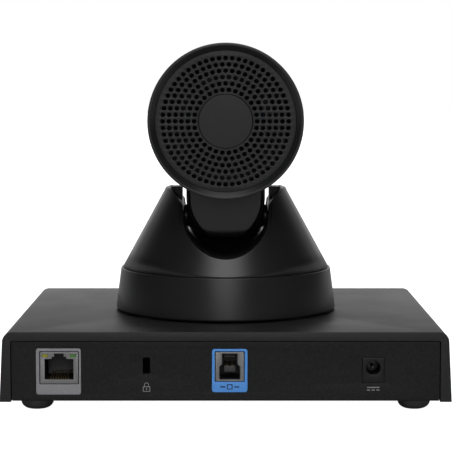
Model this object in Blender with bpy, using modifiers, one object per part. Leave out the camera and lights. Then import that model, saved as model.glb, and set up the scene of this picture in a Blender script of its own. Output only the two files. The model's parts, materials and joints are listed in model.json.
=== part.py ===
"""Conference camera that pans, tilts and zooms, built as separate sub-parts.

The base box stands on four rubber feet and holds the boards, the sockets and the pan drive.
A conical yoke turns on the base, and a drum-shaped head tilts between the yoke's two arms.

Frame: +Z up, the front (lens) faces -Y, the socket panel faces +Y, and the origin is on the
floor below the pan axis. The dimensions below are millimetres; the helpers turn them to metres.
"""
import math

import bmesh
import bpy
from mathutils import Matrix, Vector

MM = 0.001
GAP = 0.3                      # clearance between neighbouring pieces
LARGE_ROUND = 48               # sides of the large turned pieces
SMALL_ROUND = 16               # sides of the small ones
FINE_GAP = 0.15                # clearance round small inlaid trim

# Base box
BASE_WIDTH = 188.2
BASE_DEPTH = 145.3
BASE_TOP = 34.4
COVER_BOTTOM = 5.04
COVER_DRAFT = 1.3
COVER_SIDE_WALL = 4.1
COVER_ROOF = 3.7
COVER_FRONT_WALL = 3.5
COVER_CORNER = 4.2
PLATE_BOTTOM = 5.1
PLATE_THICKNESS = 1.2
FOOT_RADIUS = 6.9
FOOT_FLAT_RADIUS = 3.0
FOOT_X = 79.8
FOOT_Y = 58.6
SCREW_X = 83.6
SCREW_Y = 42.0
PANEL_FACE_Y = 72.25
PANEL_THICKNESS = 1.5
PANEL_BOTTOM = 5.75
BOARD_TOP = 12.5
BOARD_THICKNESS = 1.6
TRIPOD_Y = -20.0
HEATSINK_PLACE = (40.0, -20.0)

# Sockets on the rear panel, each as its centre X and its lowest and highest Z
ETHERNET_X = 69.2
ETHERNET_Z = (12.75, 26.0)
ETHERNET_WIDTH = 15.8
LOCK_X = 32.9
LOCK_Z = (16.8, 23.7)
LOCK_WIDTH = 3.0
USB_X = -1.7
USB_Z = (13.8, 26.0)
USB_WIDTH = 11.8
POWER_X = -61.35
POWER_Z = (13.2, 23.7)
POWER_WIDTH = 9.0
POWER_HOLE_Z = 19.4
POWER_HOLE_RADIUS = 3.0

# Pan drive
TUBE_RADIUS = 12.0
TUBE_BORE = 9.0
BEARING_RADIUS = 16.6
GEAR_MODULE = 1.2
PAN_TEETH = 40
PINION_TEETH = 10
GEAR_Z = (22.5, 26.5)
PRESSURE_ANGLE = math.radians(20.0)

# Yoke
SKIRT_BOTTOM = 35.2
SKIRT_TOP = 53.7
SKIRT_BOTTOM_RADIUS = 50.0
SKIRT_TOP_RADIUS = 47.6
CONE_FOOT_Z = 53.95
CONE_FOOT_RADIUS = 46.8
CONE_SHOULDER_Z = 88.35
CONE_SHOULDER_RADIUS = 28.0
YOKE_TOP = 90.4
YOKE_TOP_RADIUS = 26.0
YOKE_WALL = 2.2
SLOT_RADIUS = 19.2
SLOT_CENTRE_Z = 80.5
SLOT_HALF_WIDTH = 19.6
SLOT_WALL_Z = 83.2
RELIEF_FOOT_Z = 84.0
RELIEF_HALF_WIDTH = 24.7
RELIEF_START_Y = 5.0
SADDLE_Y = (-13.0, -7.0)
SADDLE_ROOM = 13.6
NECK_FACE_BOTTOM = 71.2
NECK_FILLET = 4.0
HUB_CLEARANCE = 0.7

# Tilt drive
TILT_Z = 77.0
HUB_RADIUS = 11.2
HUB_HALF_LENGTH = 18.7
HUB_BARREL_ROUND = 26.5
HUB_BOSS_RADIUS = 4.9
HUB_BOSS_END = 19.1
AXLE_RADIUS = 2.4
UPRIGHT_X = (22.4, 23.9)
PULLEY_X = (24.3, 27.3)
TILT_PULLEY_RADIUS = 6.4
MOTOR_PULLEY_RADIUS = 3.2
TILT_MOTOR_Z = 49.6
BELT_THICKNESS = 0.8

# Head
HEAD_Z = 120.8
HEAD_RADIUS = 33.5
HEAD_REAR = 45.0
HEAD_FRONT = -50.0
HEAD_WALL = 2.4
BEZEL_LENGTH = 4.0
BEZEL_BORE = 30.3
GRILLE_RECESS = 2.0
GRILLE_THICKNESS = 1.6
CAP_RADIUS = 11.7
LENS_RADIUS = 18.0
HOLE_RADIUS = 1.03             # holes of the rear plate, in rings round its centre
HOLE_SIDES = 6
HOLE_RINGS = 6
OUTER_RING = 27.0
RING_PITCH = 2.7
OUTER_RING_HOLES = 60
FEWER_HOLES_INWARD = 6
SUPPORT_RIBS = 8
GUIDE_ROD_OFFSET = 14.0

SCENE_OBJECTS = list(bpy.data.objects)
for leftover in SCENE_OBJECTS:
    bpy.data.objects.remove(leftover, do_unlink=True)

parts = bpy.data.collections.new("ptz_camera")
cutters = bpy.data.collections.new("cutters")
bpy.context.scene.collection.children.link(parts)
bpy.context.scene.collection.children.link(cutters)


def make_material(name, colour, roughness, metallic=0.0):
    material = bpy.data.materials.new(name)
    material.use_nodes = True
    shader = material.node_tree.nodes["Principled BSDF"]
    shader.inputs["Base Color"].default_value = (*colour, 1.0)
    shader.inputs["Roughness"].default_value = roughness
    shader.inputs["Metallic"].default_value = metallic
    return material


shell_black = make_material("shell_black", (0.022, 0.022, 0.024), 0.42)
panel_black = make_material("panel_black", (0.014, 0.014, 0.015), 0.6)
plastic_black = make_material("plastic_black", (0.008, 0.008, 0.009), 0.4)
rubber = make_material("rubber", (0.012, 0.012, 0.012), 0.8)
steel = make_material("steel", (0.62, 0.62, 0.62), 0.3, 1.0)
aluminium = make_material("aluminium", (0.7, 0.7, 0.72), 0.4, 1.0)
brass = make_material("brass", (0.78, 0.58, 0.25), 0.3, 1.0)
board_green = make_material("board_green", (0.01, 0.13, 0.06), 0.5)
label_grey = make_material("label_grey", (0.2, 0.2, 0.21), 0.5)
label_blue = make_material("label_blue", (0.04, 0.21, 0.9), 0.4)
lamp_yellow = make_material("lamp_yellow", (0.75, 0.55, 0.03), 0.3)
lamp_green = make_material("lamp_green", (0.08, 0.5, 0.12), 0.3)
window_dark = make_material("window_dark", (0.015, 0.004, 0.006), 0.08)
lens_glass = make_material("lens_glass", (0.04, 0.05, 0.07), 0.02)
gear_white = make_material("gear_white", (0.75, 0.74, 0.7), 0.45)

PAN_PINION_Y = -GEAR_MODULE * (PAN_TEETH + PINION_TEETH) / 2
ZOOM_Y = -24.0
FOCUS_Y = -8.0
BODY_ORIGINS = {
    "base": (0.0, 0.0, 0.0),
    "pan_pinion": (0.0, PAN_PINION_Y, 0.0),
    "yoke": (0.0, 0.0, BASE_TOP),
    "tilt_motor_pulley": (0.0, 0.0, TILT_MOTOR_Z),
    "head": (0.0, 0.0, TILT_Z),
    "zoom_group": (0.0, ZOOM_Y, HEAD_Z),
    "focus_group": (0.0, FOCUS_Y, HEAD_Z),
}
BODY_PARENTS = {
    "pan_pinion": "base",
    "yoke": "base",
    "tilt_motor_pulley": "yoke",
    "head": "yoke",
    "zoom_group": "head",
    "focus_group": "head",
}


def make_body_empties():
    """One empty on each joint's axis; every piece is parented to its body's empty."""
    empties = {}
    for body, origin in BODY_ORIGINS.items():
        empty = bpy.data.objects.new(body + "_frame", None)
        parts.objects.link(empty)
        parent = BODY_PARENTS.get(body)
        offset = Vector(BODY_ORIGINS[parent]) if parent else Vector()
        empty.location = (Vector(origin) - offset) * MM
        empty.parent = empties.get(parent)
        empties[body] = empty
    return empties


empties = make_body_empties()


def add_part(name, mesh, material, body, location=(0.0, 0.0, 0.0), rotation=(0.0, 0.0, 0.0)):
    """Put a mesh in the scene as one sub-part; location is in the object's frame."""
    mesh.name = name
    mesh.materials.append(material)
    mesh.shade_smooth()
    mesh.set_sharp_from_angle(angle=math.radians(35.0))
    part = bpy.data.objects.new(name, mesh)
    parts.objects.link(part)
    part.location = (Vector(location) - Vector(BODY_ORIGINS[body])) * MM
    part.rotation_euler = rotation
    part.parent = empties[body]
    return part


def add_cutter(name, mesh, location=(0.0, 0.0, 0.0), rotation=(0.0, 0.0, 0.0)):
    cutter = bpy.data.objects.new(name, mesh)
    cutters.objects.link(cutter)
    cutter.location = Vector(location) * MM
    cutter.rotation_euler = rotation
    cutter.hide_render = True
    cutter.display_type = "WIRE"
    return cutter


def combine(part, tool, operation="DIFFERENCE"):
    modifier = part.modifiers.new(operation.lower() + "_" + tool.name, "BOOLEAN")
    modifier.operation = operation
    modifier.solver = "EXACT"
    modifier.object = tool
    return part


def mesh_from(bm, name="mesh"):
    bmesh.ops.recalc_face_normals(bm, faces=bm.faces)
    mesh = bpy.data.meshes.new(name)
    bm.to_mesh(mesh)
    bm.free()
    return mesh


def box_mesh(size, bevel=0.0):
    bm = bmesh.new()
    bmesh.ops.create_cube(bm, size=1.0)
    bmesh.ops.scale(bm, vec=Vector(size) * MM, verts=bm.verts)
    if bevel:
        bmesh.ops.bevel(bm, geom=bm.edges, offset=bevel * MM, segments=2, affect="EDGES", profile=0.5)
    return mesh_from(bm)


def box_span(x, y, z):
    """Size and centre of the box between pairs of coordinates."""
    size = (x[1] - x[0], y[1] - y[0], z[1] - z[0])
    centre = ((x[0] + x[1]) / 2, (y[0] + y[1]) / 2, (z[0] + z[1]) / 2)
    return size, centre


def add_box(name, x, y, z, material, body, bevel=0.0):
    size, centre = box_span(x, y, z)
    return add_part(name, box_mesh(size, bevel), material, body, centre)


def box_cutter(name, x, y, z):
    size, centre = box_span(x, y, z)
    return add_cutter(name, box_mesh(size), centre)


AXIS_TURNS = {"Z": (0.0, 0.0, 0.0), "Y": (-math.pi / 2, 0.0, 0.0), "X": (0.0, math.pi / 2, 0.0)}


def cylinder_mesh(radius, depth, segments=32):
    bm = bmesh.new()
    bmesh.ops.create_cone(
        bm, cap_ends=True, segments=segments, radius1=radius * MM, radius2=radius * MM, depth=depth * MM)
    return mesh_from(bm)


def cylinder_place(axis, span, centre):
    """Centre of a cylinder that runs along one axis over span, with its other two coordinates given."""
    middle = (span[0] + span[1]) / 2
    first, second = centre
    return {"X": (middle, first, second), "Y": (first, middle, second), "Z": (first, second, middle)}[axis]


def add_cylinder(name, radius, axis, span, centre, material, body, segments=32):
    mesh = cylinder_mesh(radius, span[1] - span[0], segments)
    return add_part(name, mesh, material, body, cylinder_place(axis, span, centre), AXIS_TURNS[axis])


def cylinder_cutter(name, radius, axis, span, centre, segments=32):
    mesh = cylinder_mesh(radius, span[1] - span[0], segments)
    return add_cutter(name, mesh, cylinder_place(axis, span, centre), AXIS_TURNS[axis])


def signed_area(points):
    return sum(a[0] * b[1] - b[0] * a[1] for a, b in zip(points, points[1:] + points[:1])) / 2


def turn_profile(target, profile, segments):
    """Give an object a profile of (radius, height) points and turn it with a Screw modifier.

    A profile whose two ends lie on the axis makes a solid; any other is closed into a ring.
    """
    points = list(profile)
    if signed_area(points) > 0:
        points.reverse()
    solid = profile[0][0] == 0.0 and profile[-1][0] == 0.0
    count = len(points)
    edges = [(i, i + 1) for i in range(count - 1)]
    if not solid:
        edges.append((count - 1, 0))
    target.data.from_pydata([(r * MM, 0.0, h * MM) for r, h in points], edges, [])
    screw = target.modifiers.new("turn", "SCREW")
    screw.angle = 2 * math.pi
    screw.steps = segments
    screw.render_steps = segments
    screw.use_merge_vertices = True
    screw.merge_threshold = 0.000001
    screw.use_smooth_shade = True


def add_turned(name, profile, material, body, location=(0.0, 0.0, 0.0), axis="Z", segments=LARGE_ROUND):
    mesh = bpy.data.meshes.new(name)
    part = add_part(name, mesh, material, body, location, AXIS_TURNS[axis])
    turn_profile(part, profile, segments)
    return part


def turned_cutter(name, profile, location=(0.0, 0.0, 0.0), axis="Z", segments=LARGE_ROUND):
    cutter = add_cutter(name, bpy.data.meshes.new(name), location, AXIS_TURNS[axis])
    turn_profile(cutter, profile, segments)
    return cutter


def prism_mesh(outline, axis, span):
    """Extrude a flat outline: (x, z) points along Y, (y, z) points along X, or (x, y) along Z."""
    place = {
        "Y": lambda u, v: (u, span[0], v),
        "X": lambda u, v: (span[0], u, v),
        "Z": lambda u, v: (u, v, span[0]),
    }[axis]
    direction = {"X": Vector((1, 0, 0)), "Y": Vector((0, 1, 0)), "Z": Vector((0, 0, 1))}[axis]
    bm = bmesh.new()
    ring = [bm.verts.new(Vector(place(u, v)) * MM) for u, v in outline]
    face = bm.faces.new(ring)
    extruded = bmesh.ops.extrude_face_region(bm, geom=[face])
    moved = [item for item in extruded["geom"] if isinstance(item, bmesh.types.BMVert)]
    bmesh.ops.translate(bm, vec=direction * (span[1] - span[0]) * MM, verts=moved)
    return mesh_from(bm)


def add_prism(name, outline, axis, span, material, body):
    part = add_part(name, prism_mesh(outline, axis, span), material, body)
    return part


def prism_cutter(name, outline, axis, span):
    return add_cutter(name, prism_mesh(outline, axis, span))


def arc(centre, radius, start, end, steps):
    """Points on an arc, its angles in degrees from the outline's first axis."""
    points = []
    for step in range(steps + 1):
        angle = math.radians(start + (end - start) * step / steps)
        points.append((centre[0] + radius * math.cos(angle), centre[1] + radius * math.sin(angle)))
    return points


def rounded_rectangle(x, z, radius, steps=3):
    corners = [
        ((x[1] - radius, z[0] + radius), -90.0),
        ((x[1] - radius, z[1] - radius), 0.0),
        ((x[0] + radius, z[1] - radius), 90.0),
        ((x[0] + radius, z[0] + radius), 180.0),
    ]
    outline = []
    for centre, start in corners:
        outline += arc(centre, radius, start, start + 90.0, steps)
    return outline


# ---------------------------------------------------------------- base box

COVER_INSIDE_X = BASE_WIDTH / 2 - COVER_DRAFT / 2 - COVER_SIDE_WALL
PANEL_X = COVER_INSIDE_X - GAP
WINDOW_X = 22.0
WINDOW_Z = (13.0, 25.0)


def cover_outline():
    """Cross-section of the cover: drafted sides and rounded upper corners."""
    foot = BASE_WIDTH / 2
    top = foot - COVER_DRAFT
    right = arc((top - COVER_CORNER, BASE_TOP - COVER_CORNER), COVER_CORNER, 0.0, 90.0, 5)
    left = [(-x, z) for x, z in reversed(right)]
    return [(-foot, COVER_BOTTOM), (foot, COVER_BOTTOM)] + right + left


def round_front_edges(mesh, radius):
    """Round the cover's two upright front corners and its upper front edge."""
    bm = bmesh.new()
    bm.from_mesh(mesh)
    front = min(vert.co.y for vert in bm.verts)
    low = min(vert.co.z for vert in bm.verts) + 0.00001
    chosen = []
    for edge in bm.edges:
        at_front = all(abs(vert.co.y - front) < 0.00001 for vert in edge.verts)
        if at_front and any(vert.co.z > low for vert in edge.verts):
            chosen.append(edge)
    bmesh.ops.bevel(bm, geom=chosen, offset=radius * MM, segments=2, affect="EDGES", profile=0.5)
    bmesh.ops.remove_doubles(bm, verts=bm.verts, dist=0.000001)
    bmesh.ops.recalc_face_normals(bm, faces=bm.faces)
    bm.to_mesh(mesh)
    bm.free()


def build_cover():
    half_depth = BASE_DEPTH / 2
    cover = add_prism("base_cover", cover_outline(), "Y", (-half_depth, half_depth), shell_black, "base")
    round_front_edges(cover.data, 2.0)
    inside_top = BASE_TOP - COVER_ROOF
    hollow = rounded_rectangle(
        (-COVER_INSIDE_X, COVER_INSIDE_X), (COVER_BOTTOM - 5.0, inside_top), 0.8, 2)
    combine(cover, prism_cutter(
        "cover_hollow", hollow, "Y", (-half_depth + COVER_FRONT_WALL, half_depth + 1.0)))
    combine(cover, cylinder_cutter(
        "spindle_hole", BEARING_RADIUS + GAP, "Z", (inside_top - 1.0, BASE_TOP + 1.0), (0.0, 0.0), 48))
    for side in (-1, 1):
        for end in (-1, 1):
            label = "boss_%d_%d" % (side, end)
            centre = (side * SCREW_X, end * SCREW_Y)
            combine(cover, cylinder_cutter(label, 3.6, "Z", (7.0, inside_top + 1.0), centre, 16), "UNION")
            combine(cover, cylinder_cutter(label + "_pilot", 1.6, "Z", (6.0, 18.0), centre, 12))
        post = (side * 17.0, PAN_PINION_Y)
        combine(cover, cylinder_cutter(
            "motor_post_%d" % side, 2.6, "Z", (22.2, inside_top + 1.0), post, 12), "UNION")
    combine(cover, box_cutter(
        "window_hole", (-WINDOW_X - FINE_GAP, WINDOW_X + FINE_GAP),
        (-half_depth - 1.0, -half_depth + COVER_FRONT_WALL + 1.0),
        (WINDOW_Z[0] - FINE_GAP, WINDOW_Z[1] + FINE_GAP)))
    add_box("remote_window", (-WINDOW_X, WINDOW_X), (-half_depth + 0.25, -half_depth + 2.2), WINDOW_Z,
            window_dark, "base", 0.2)


def build_bottom_plate():
    top = PLATE_BOTTOM + PLATE_THICKNESS
    half_depth = BASE_DEPTH / 2
    plate = add_box(
        "bottom_plate", (-PANEL_X, PANEL_X), (-half_depth + COVER_FRONT_WALL + GAP, 70.2),
        (PLATE_BOTTOM, top), panel_black, "base")
    for side in (-1, 1):
        for end in (-1, 1):
            centre = (side * SCREW_X, end * SCREW_Y)
            label = "plate_hole_%d_%d" % (side, end)
            combine(plate, cylinder_cutter(label, 1.7, "Z", (PLATE_BOTTOM - 1.0, top + 1.0), centre, 12))
            post = (side * 68.0, end * 44.0)
            combine(plate, cylinder_cutter(
                "standoff_%d_%d" % (side, end), 3.0, "Z",
                (PLATE_BOTTOM + 0.5, BOARD_TOP - BOARD_THICKNESS - GAP), post, 12), "UNION")
    combine(plate, cylinder_cutter(
        "tripod_hole", 5.0, "Z", (PLATE_BOTTOM - 1.0, top + 1.0), (0.0, TRIPOD_Y), 24))
    insert = [(3.2, PLATE_BOTTOM - 0.1), (4.7, PLATE_BOTTOM - 0.1), (4.7, top + GAP), (8.0, top + GAP),
              (8.0, top + 1.8), (5.6, top + 1.8), (5.6, 10.4), (3.2, 10.4)]
    add_turned("tripod_insert", insert, brass, "base", (0.0, TRIPOD_Y, 0.0), segments=SMALL_ROUND)


def build_feet():
    """Four domed bumpers with a small flat underneath."""
    top = PLATE_BOTTOM - GAP
    dome = [(0.0, 0.0), (FOOT_FLAT_RADIUS, 0.0), (4.8, 0.35), (5.9, 1.05), (6.6, 2.1),
            (FOOT_RADIUS, 3.4), (FOOT_RADIUS, top), (0.0, top)]
    for side, side_name in ((1, "left"), (-1, "right")):
        for end, end_name in ((1, "rear"), (-1, "front")):
            add_turned("foot_%s_%s" % (end_name, side_name), dome, rubber, "base",
                       (side * FOOT_X, end * FOOT_Y, 0.0), segments=SMALL_ROUND)


def build_cover_screws():
    screw = [(0.0, 3.9), (2.3, 3.9), (2.7, 4.3), (2.7, PLATE_BOTTOM - 0.1), (1.35, PLATE_BOTTOM - 0.1),
             (1.35, 14.0), (0.9, 14.6), (0.0, 14.6)]
    for side, side_name in ((1, "left"), (-1, "right")):
        for end, end_name in ((1, "rear"), (-1, "front")):
            add_turned("cover_screw_%s_%s" % (end_name, side_name), screw, steel, "base",
                       (side * SCREW_X, end * SCREW_Y, 0.0), segments=10)


def build_main_board():
    low = BOARD_TOP - BOARD_THICKNESS
    board = add_box("main_board", (-78.0, 78.0), (-52.0, 69.8), (low, BOARD_TOP), board_green, "base")
    add_turned("processor_heatsink", heatsink_profile(), aluminium, "base", (*HEATSINK_PLACE, 0.0),
               segments=SMALL_ROUND)
    return board


def heatsink_profile():
    """Round heatsink: a stack of discs on a core."""
    profile = [(0.0, BOARD_TOP + GAP), (10.0, BOARD_TOP + GAP)]
    height = BOARD_TOP + GAP
    for disc in range(3):
        profile += [(10.0, height + 1.2), (4.5, height + 1.2), (4.5, height + 2.8), (10.0, height + 2.8)]
        height += 2.8
    return profile + [(10.0, height + 1.2), (0.0, height + 1.2)]


# ---------------------------------------------------------------- rear panel and sockets

ETHERNET_LABEL_X = (60.1, 78.8)
ETHERNET_LABEL_Z = (8.1, 27.5)
USB_LABEL_X = (USB_X - 7.4, USB_X + 7.4)
USB_LABEL_Z = (9.1, 27.3)
LABEL_BACK = PANEL_FACE_Y - 0.35
LABEL_FACE = PANEL_FACE_Y + 0.1
SOCKET_FACE = PANEL_FACE_Y + 0.1


def span_about(centre, width):
    return (centre - width / 2, centre + width / 2)


def grown(span, amount):
    return (span[0] - amount, span[1] + amount)


def build_rear_panel():
    back = PANEL_FACE_Y - PANEL_THICKNESS
    top = BASE_TOP - COVER_ROOF - GAP
    outline = rounded_rectangle((-PANEL_X, PANEL_X), (PANEL_BOTTOM, top), 0.7, 2)
    panel = add_prism("rear_panel", outline, "Y", (back, PANEL_FACE_Y), panel_black, "base")
    through = (back - 1.0, PANEL_FACE_Y + 1.0)
    inlay = (PANEL_FACE_Y - 0.5, PANEL_FACE_Y + 1.0)
    combine(panel, box_cutter("lock_cut", span_about(LOCK_X, LOCK_WIDTH), through, LOCK_Z))
    for name, depth, x, z in (
            ("ethernet_cut", through, span_about(ETHERNET_X, ETHERNET_WIDTH), ETHERNET_Z),
            ("usb_cut", through, span_about(USB_X, USB_WIDTH), USB_Z),
            ("power_cut", through, span_about(POWER_X, POWER_WIDTH), POWER_Z),
            ("ethernet_inlay", inlay, ETHERNET_LABEL_X, ETHERNET_LABEL_Z),
            ("usb_inlay", inlay, USB_LABEL_X, USB_LABEL_Z)):
        combine(panel, box_cutter(name, grown(x, FINE_GAP), depth, grown(z, FINE_GAP)))


def build_label(name, x, z, hole_x, hole_z, material):
    outline = rounded_rectangle(x, z, 1.2, 3)
    label = add_prism(name, outline, "Y", (LABEL_BACK, LABEL_FACE), material, "base")
    combine(label, box_cutter(name + "_hole", hole_x, (LABEL_BACK - 1.0, LABEL_FACE + 1.0), hole_z))


def build_ethernet():
    wall = 0.4
    outer_x = span_about(ETHERNET_X, ETHERNET_WIDTH)
    build_label("ethernet_label", ETHERNET_LABEL_X, ETHERNET_LABEL_Z,
                grown(outer_x, FINE_GAP), grown(ETHERNET_Z, FINE_GAP), label_grey)
    shield = add_box("ethernet_jack_shield", outer_x, (51.0, SOCKET_FACE), ETHERNET_Z, steel, "base")
    combine(shield, box_cutter(
        "shield_hollow", grown(outer_x, -wall), (51.0 + wall, SOCKET_FACE - wall), grown(ETHERNET_Z, -wall)))
    insert_x = grown(outer_x, -wall - FINE_GAP)
    insert_z = grown(ETHERNET_Z, -wall - FINE_GAP)
    insert = add_box("ethernet_jack_insert", insert_x, (52.0, SOCKET_FACE - wall - FINE_GAP), insert_z,
                     plastic_black, "base")
    mouth = SOCKET_FACE + 1.0
    combine(insert, prism_cutter("plug_cavity", plug_outline(24.9), "Y", (58.0, mouth)))
    combine(shield, prism_cutter("plug_mouth", plug_outline(25.4), "Y", (SOCKET_FACE - 1.0, mouth)))
    lamp_z = (23.95, 24.95)
    for name, side, material in (("ethernet_led_yellow", 1, lamp_yellow),
                                 ("ethernet_led_green", -1, lamp_green)):
        lamp_x = span_about(ETHERNET_X + side * 5.8, 2.4)
        pocket = (grown(lamp_x, 0.1), (68.9, mouth), grown(lamp_z, 0.1))
        combine(insert, box_cutter(name + "_pocket", *pocket))
        combine(shield, box_cutter(name + "_window", *pocket))
        add_box(name, lamp_x, (69.0, SOCKET_FACE - 0.1), lamp_z, material, "base")
    comb = [(58.4, 15.7), (70.8, 14.75), (70.8, 15.05), (59.2, 16.05), (59.2, 17.4), (58.4, 17.4)]
    contacts = add_prism("ethernet_contacts", comb, "X", span_about(ETHERNET_X, 7.6), brass, "base")
    for slot in range(7):
        middle = ETHERNET_X + (slot - 3) * 1.02
        combine(contacts, box_cutter(
            "contact_slot_%d" % slot, span_about(middle, 0.5), (59.6, 72.0), (14.0, 18.0)))


def plug_outline(notch_top):
    """Mouth of the network socket: the plug's body with the stepped notch of its latch above it."""
    half, step, notch = 6.0, 3.0, 2.0
    low, body_top, step_top = 14.5, 23.1, 24.0
    right = [(half, low), (half, body_top), (step, body_top), (step, step_top), (notch, step_top),
             (notch, notch_top)]
    return [(ETHERNET_X + x, z) for x, z in right] + [(ETHERNET_X - x, z) for x, z in reversed(right)]


def usb_mouth_outline():
    """Mouth of the type B socket: wide below, with a narrower part for the extra contacts above."""
    right = [(4.4, 14.4), (4.4, 19.9), (3.3, 20.9), (3.3, 25.4)]
    return [(USB_X + x, z) for x, z in right] + [(USB_X - x, z) for x, z in reversed(right)]


def build_usb():
    build_label("usb_label", USB_LABEL_X, USB_LABEL_Z, grown(span_about(USB_X, USB_WIDTH), FINE_GAP),
                grown(USB_Z, FINE_GAP), label_blue)
    shell = add_box("usb_socket_shell", span_about(USB_X, USB_WIDTH), (57.0, SOCKET_FACE), USB_Z, steel,
                    "base")
    combine(shell, prism_cutter("usb_hollow", usb_mouth_outline(), "Y", (57.4, SOCKET_FACE + 1.0)))
    tongue = add_box("usb_socket_tongue", span_about(USB_X, 4.8), (58.6, 71.2), (17.5, 20.0),
                     plastic_black, "base")
    combine(tongue, box_cutter(
        "tongue_root", span_about(USB_X, 6.2), (57.6, 59.2), (15.8, 22.6)), "UNION")


def build_power_jack():
    body = add_box("power_jack_body", span_about(POWER_X, POWER_WIDTH), (58.0, SOCKET_FACE), POWER_Z,
                   plastic_black, "base")
    combine(body, cylinder_cutter(
        "power_bore", POWER_HOLE_RADIUS, "Y", (62.0, SOCKET_FACE + 1.0), (POWER_X, POWER_HOLE_Z), 24))
    pin = [(0.0, 62.2), (1.9, 62.2), (1.9, 62.8), (0.8, 62.8), (0.8, 70.6), (0.5, 71.1), (0.0, 71.1)]
    add_turned("power_jack_pin", pin, steel, "base", (POWER_X, 0.0, POWER_HOLE_Z), "Y", 16)


def build_lock_bracket():
    back = PANEL_FACE_Y - PANEL_THICKNESS
    bracket = add_box("lock_bracket", span_about(LOCK_X, 13.0), (back - 1.8, back - GAP), (13.5, 27.0),
                      steel, "base")
    combine(bracket, box_cutter("bracket_slot", span_about(LOCK_X, LOCK_WIDTH), (back - 3.0, back), LOCK_Z))


# ---------------------------------------------------------------- pan drive

def involute_gear(teeth, addendum, dedendum, backlash, turn):
    """Outline of an external gear with involute flanks, centred on the outline's origin."""
    pitch_radius = GEAR_MODULE * teeth / 2
    base_radius = pitch_radius * math.cos(PRESSURE_ANGLE)
    tip_radius = pitch_radius + addendum
    root_radius = pitch_radius - dedendum
    half_tooth = (math.pi * GEAR_MODULE / 2 - backlash) / (2 * pitch_radius)
    pitch_involute = math.tan(PRESSURE_ANGLE) - PRESSURE_ANGLE
    start_radius = max(base_radius, root_radius)
    flank = []
    for step in range(2):
        radius = start_radius + (tip_radius - start_radius) * step
        pressure = math.acos(min(1.0, base_radius / radius))
        flank.append((radius, half_tooth + pitch_involute - (math.tan(pressure) - pressure)))
    if root_radius < start_radius:
        flank.insert(0, (root_radius, flank[0][1]))
    outline = []
    for tooth in range(teeth):
        centre = turn + 2 * math.pi * tooth / teeth
        outline += [(r * math.cos(centre - a), r * math.sin(centre - a)) for r, a in flank]
        outline += [(r * math.cos(centre + a), r * math.sin(centre + a)) for r, a in reversed(flank)]
    return outline


def build_pan_drive():
    ring = [(TUBE_RADIUS + GAP, BASE_TOP - 7.0), (BEARING_RADIUS, BASE_TOP - 7.0),
            (BEARING_RADIUS, BASE_TOP - 0.4), (TUBE_RADIUS + GAP, BASE_TOP - 0.4)]
    add_turned("pan_bearing", ring, steel, "base", segments=32)
    motor = add_cylinder("pan_motor", 12.0, "Z", (13.2, 20.4), (0.0, PAN_PINION_Y), steel, "base", 32)
    combine(motor, box_cutter(
        "pan_motor_ears", (-20.0, 20.0), (PAN_PINION_Y - 4.0, PAN_PINION_Y + 4.0), (20.2, 21.6)), "UNION")
    turn = math.pi / 2 + math.pi / PINION_TEETH
    outline = involute_gear(PINION_TEETH, 0.96, 1.05, 0.22, turn)
    outline = [(x, y + PAN_PINION_Y) for x, y in outline]
    add_prism("pan_pinion", outline, "Z", (GEAR_Z[0] - 0.4, GEAR_Z[1] + 0.4), brass, "pan_pinion")
    gear = add_prism("pan_gear", involute_gear(PAN_TEETH, 0.7, 1.25, 0.22, -math.pi / 2), "Z", GEAR_Z,
                     gear_white, "yoke")
    combine(gear, cylinder_cutter(
        "gear_bore", TUBE_RADIUS + 0.1, "Z", (GEAR_Z[0] - 1.0, GEAR_Z[1] + 1.0), (0.0, 0.0), 48))
    low = GEAR_Z[0] - 0.9
    tube = [(TUBE_BORE, low), (TUBE_RADIUS + 1.6, low), (TUBE_RADIUS + 1.6, GEAR_Z[0] - 0.2),
            (TUBE_RADIUS, GEAR_Z[0] - 0.2), (TUBE_RADIUS, BASE_TOP + 1.4), (45.5, BASE_TOP + 1.4),
            (45.5, BASE_TOP + 3.0), (TUBE_BORE, BASE_TOP + 3.0)]
    add_turned("pan_turntable", tube, aluminium, "yoke", segments=32)


# ---------------------------------------------------------------- yoke

def build_skirt():
    wall = 2.4
    skirt = [(SKIRT_BOTTOM_RADIUS - wall - 0.6, SKIRT_BOTTOM + 0.2),
             (SKIRT_BOTTOM_RADIUS - 0.9, SKIRT_BOTTOM), (SKIRT_BOTTOM_RADIUS, SKIRT_BOTTOM + 0.9),
             (SKIRT_TOP_RADIUS, SKIRT_TOP - 0.25),
             (SKIRT_TOP_RADIUS - 0.25, SKIRT_TOP), (42.5, SKIRT_TOP), (42.5, SKIRT_TOP - 1.8),
             (SKIRT_TOP_RADIUS - wall, SKIRT_TOP - 1.8)]
    add_turned("yoke_skirt", skirt, shell_black, "yoke", segments=LARGE_ROUND)


def slot_outline(grow):
    """Cross-section of the slot between the arms; grow widens it by a wall's thickness."""
    half = SLOT_HALF_WIDTH + grow
    bowl = arc((0.0, SLOT_CENTRE_Z), SLOT_RADIUS + grow, 180.0, 360.0, 16)
    right = [(half, SLOT_WALL_Z), (half, YOKE_TOP + 8.0)]
    return bowl + right + [(-x, z) for x, z in reversed(right)]


def relief_outline(grow):
    """Flare over the slot that clears the tilting drum, front and rear."""
    half = SLOT_HALF_WIDTH + grow
    top = YOKE_TOP + 8.0
    foot_z = RELIEF_FOOT_Z - grow * 0.6
    slope = (RELIEF_HALF_WIDTH - SLOT_HALF_WIDTH) / (YOKE_TOP - RELIEF_FOOT_Z)
    wide = half + slope * (top - foot_z)
    return [(-half, foot_z), (half, foot_z), (wide, top), (-wide, top)]


def saddle_outline():
    """Rib that closes the slot below the hub: a slice of the slot's round floor."""
    floor = SLOT_RADIUS + 1.0
    return arc((0.0, SLOT_CENTRE_Z), floor, 210.0, 330.0, 16)


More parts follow.
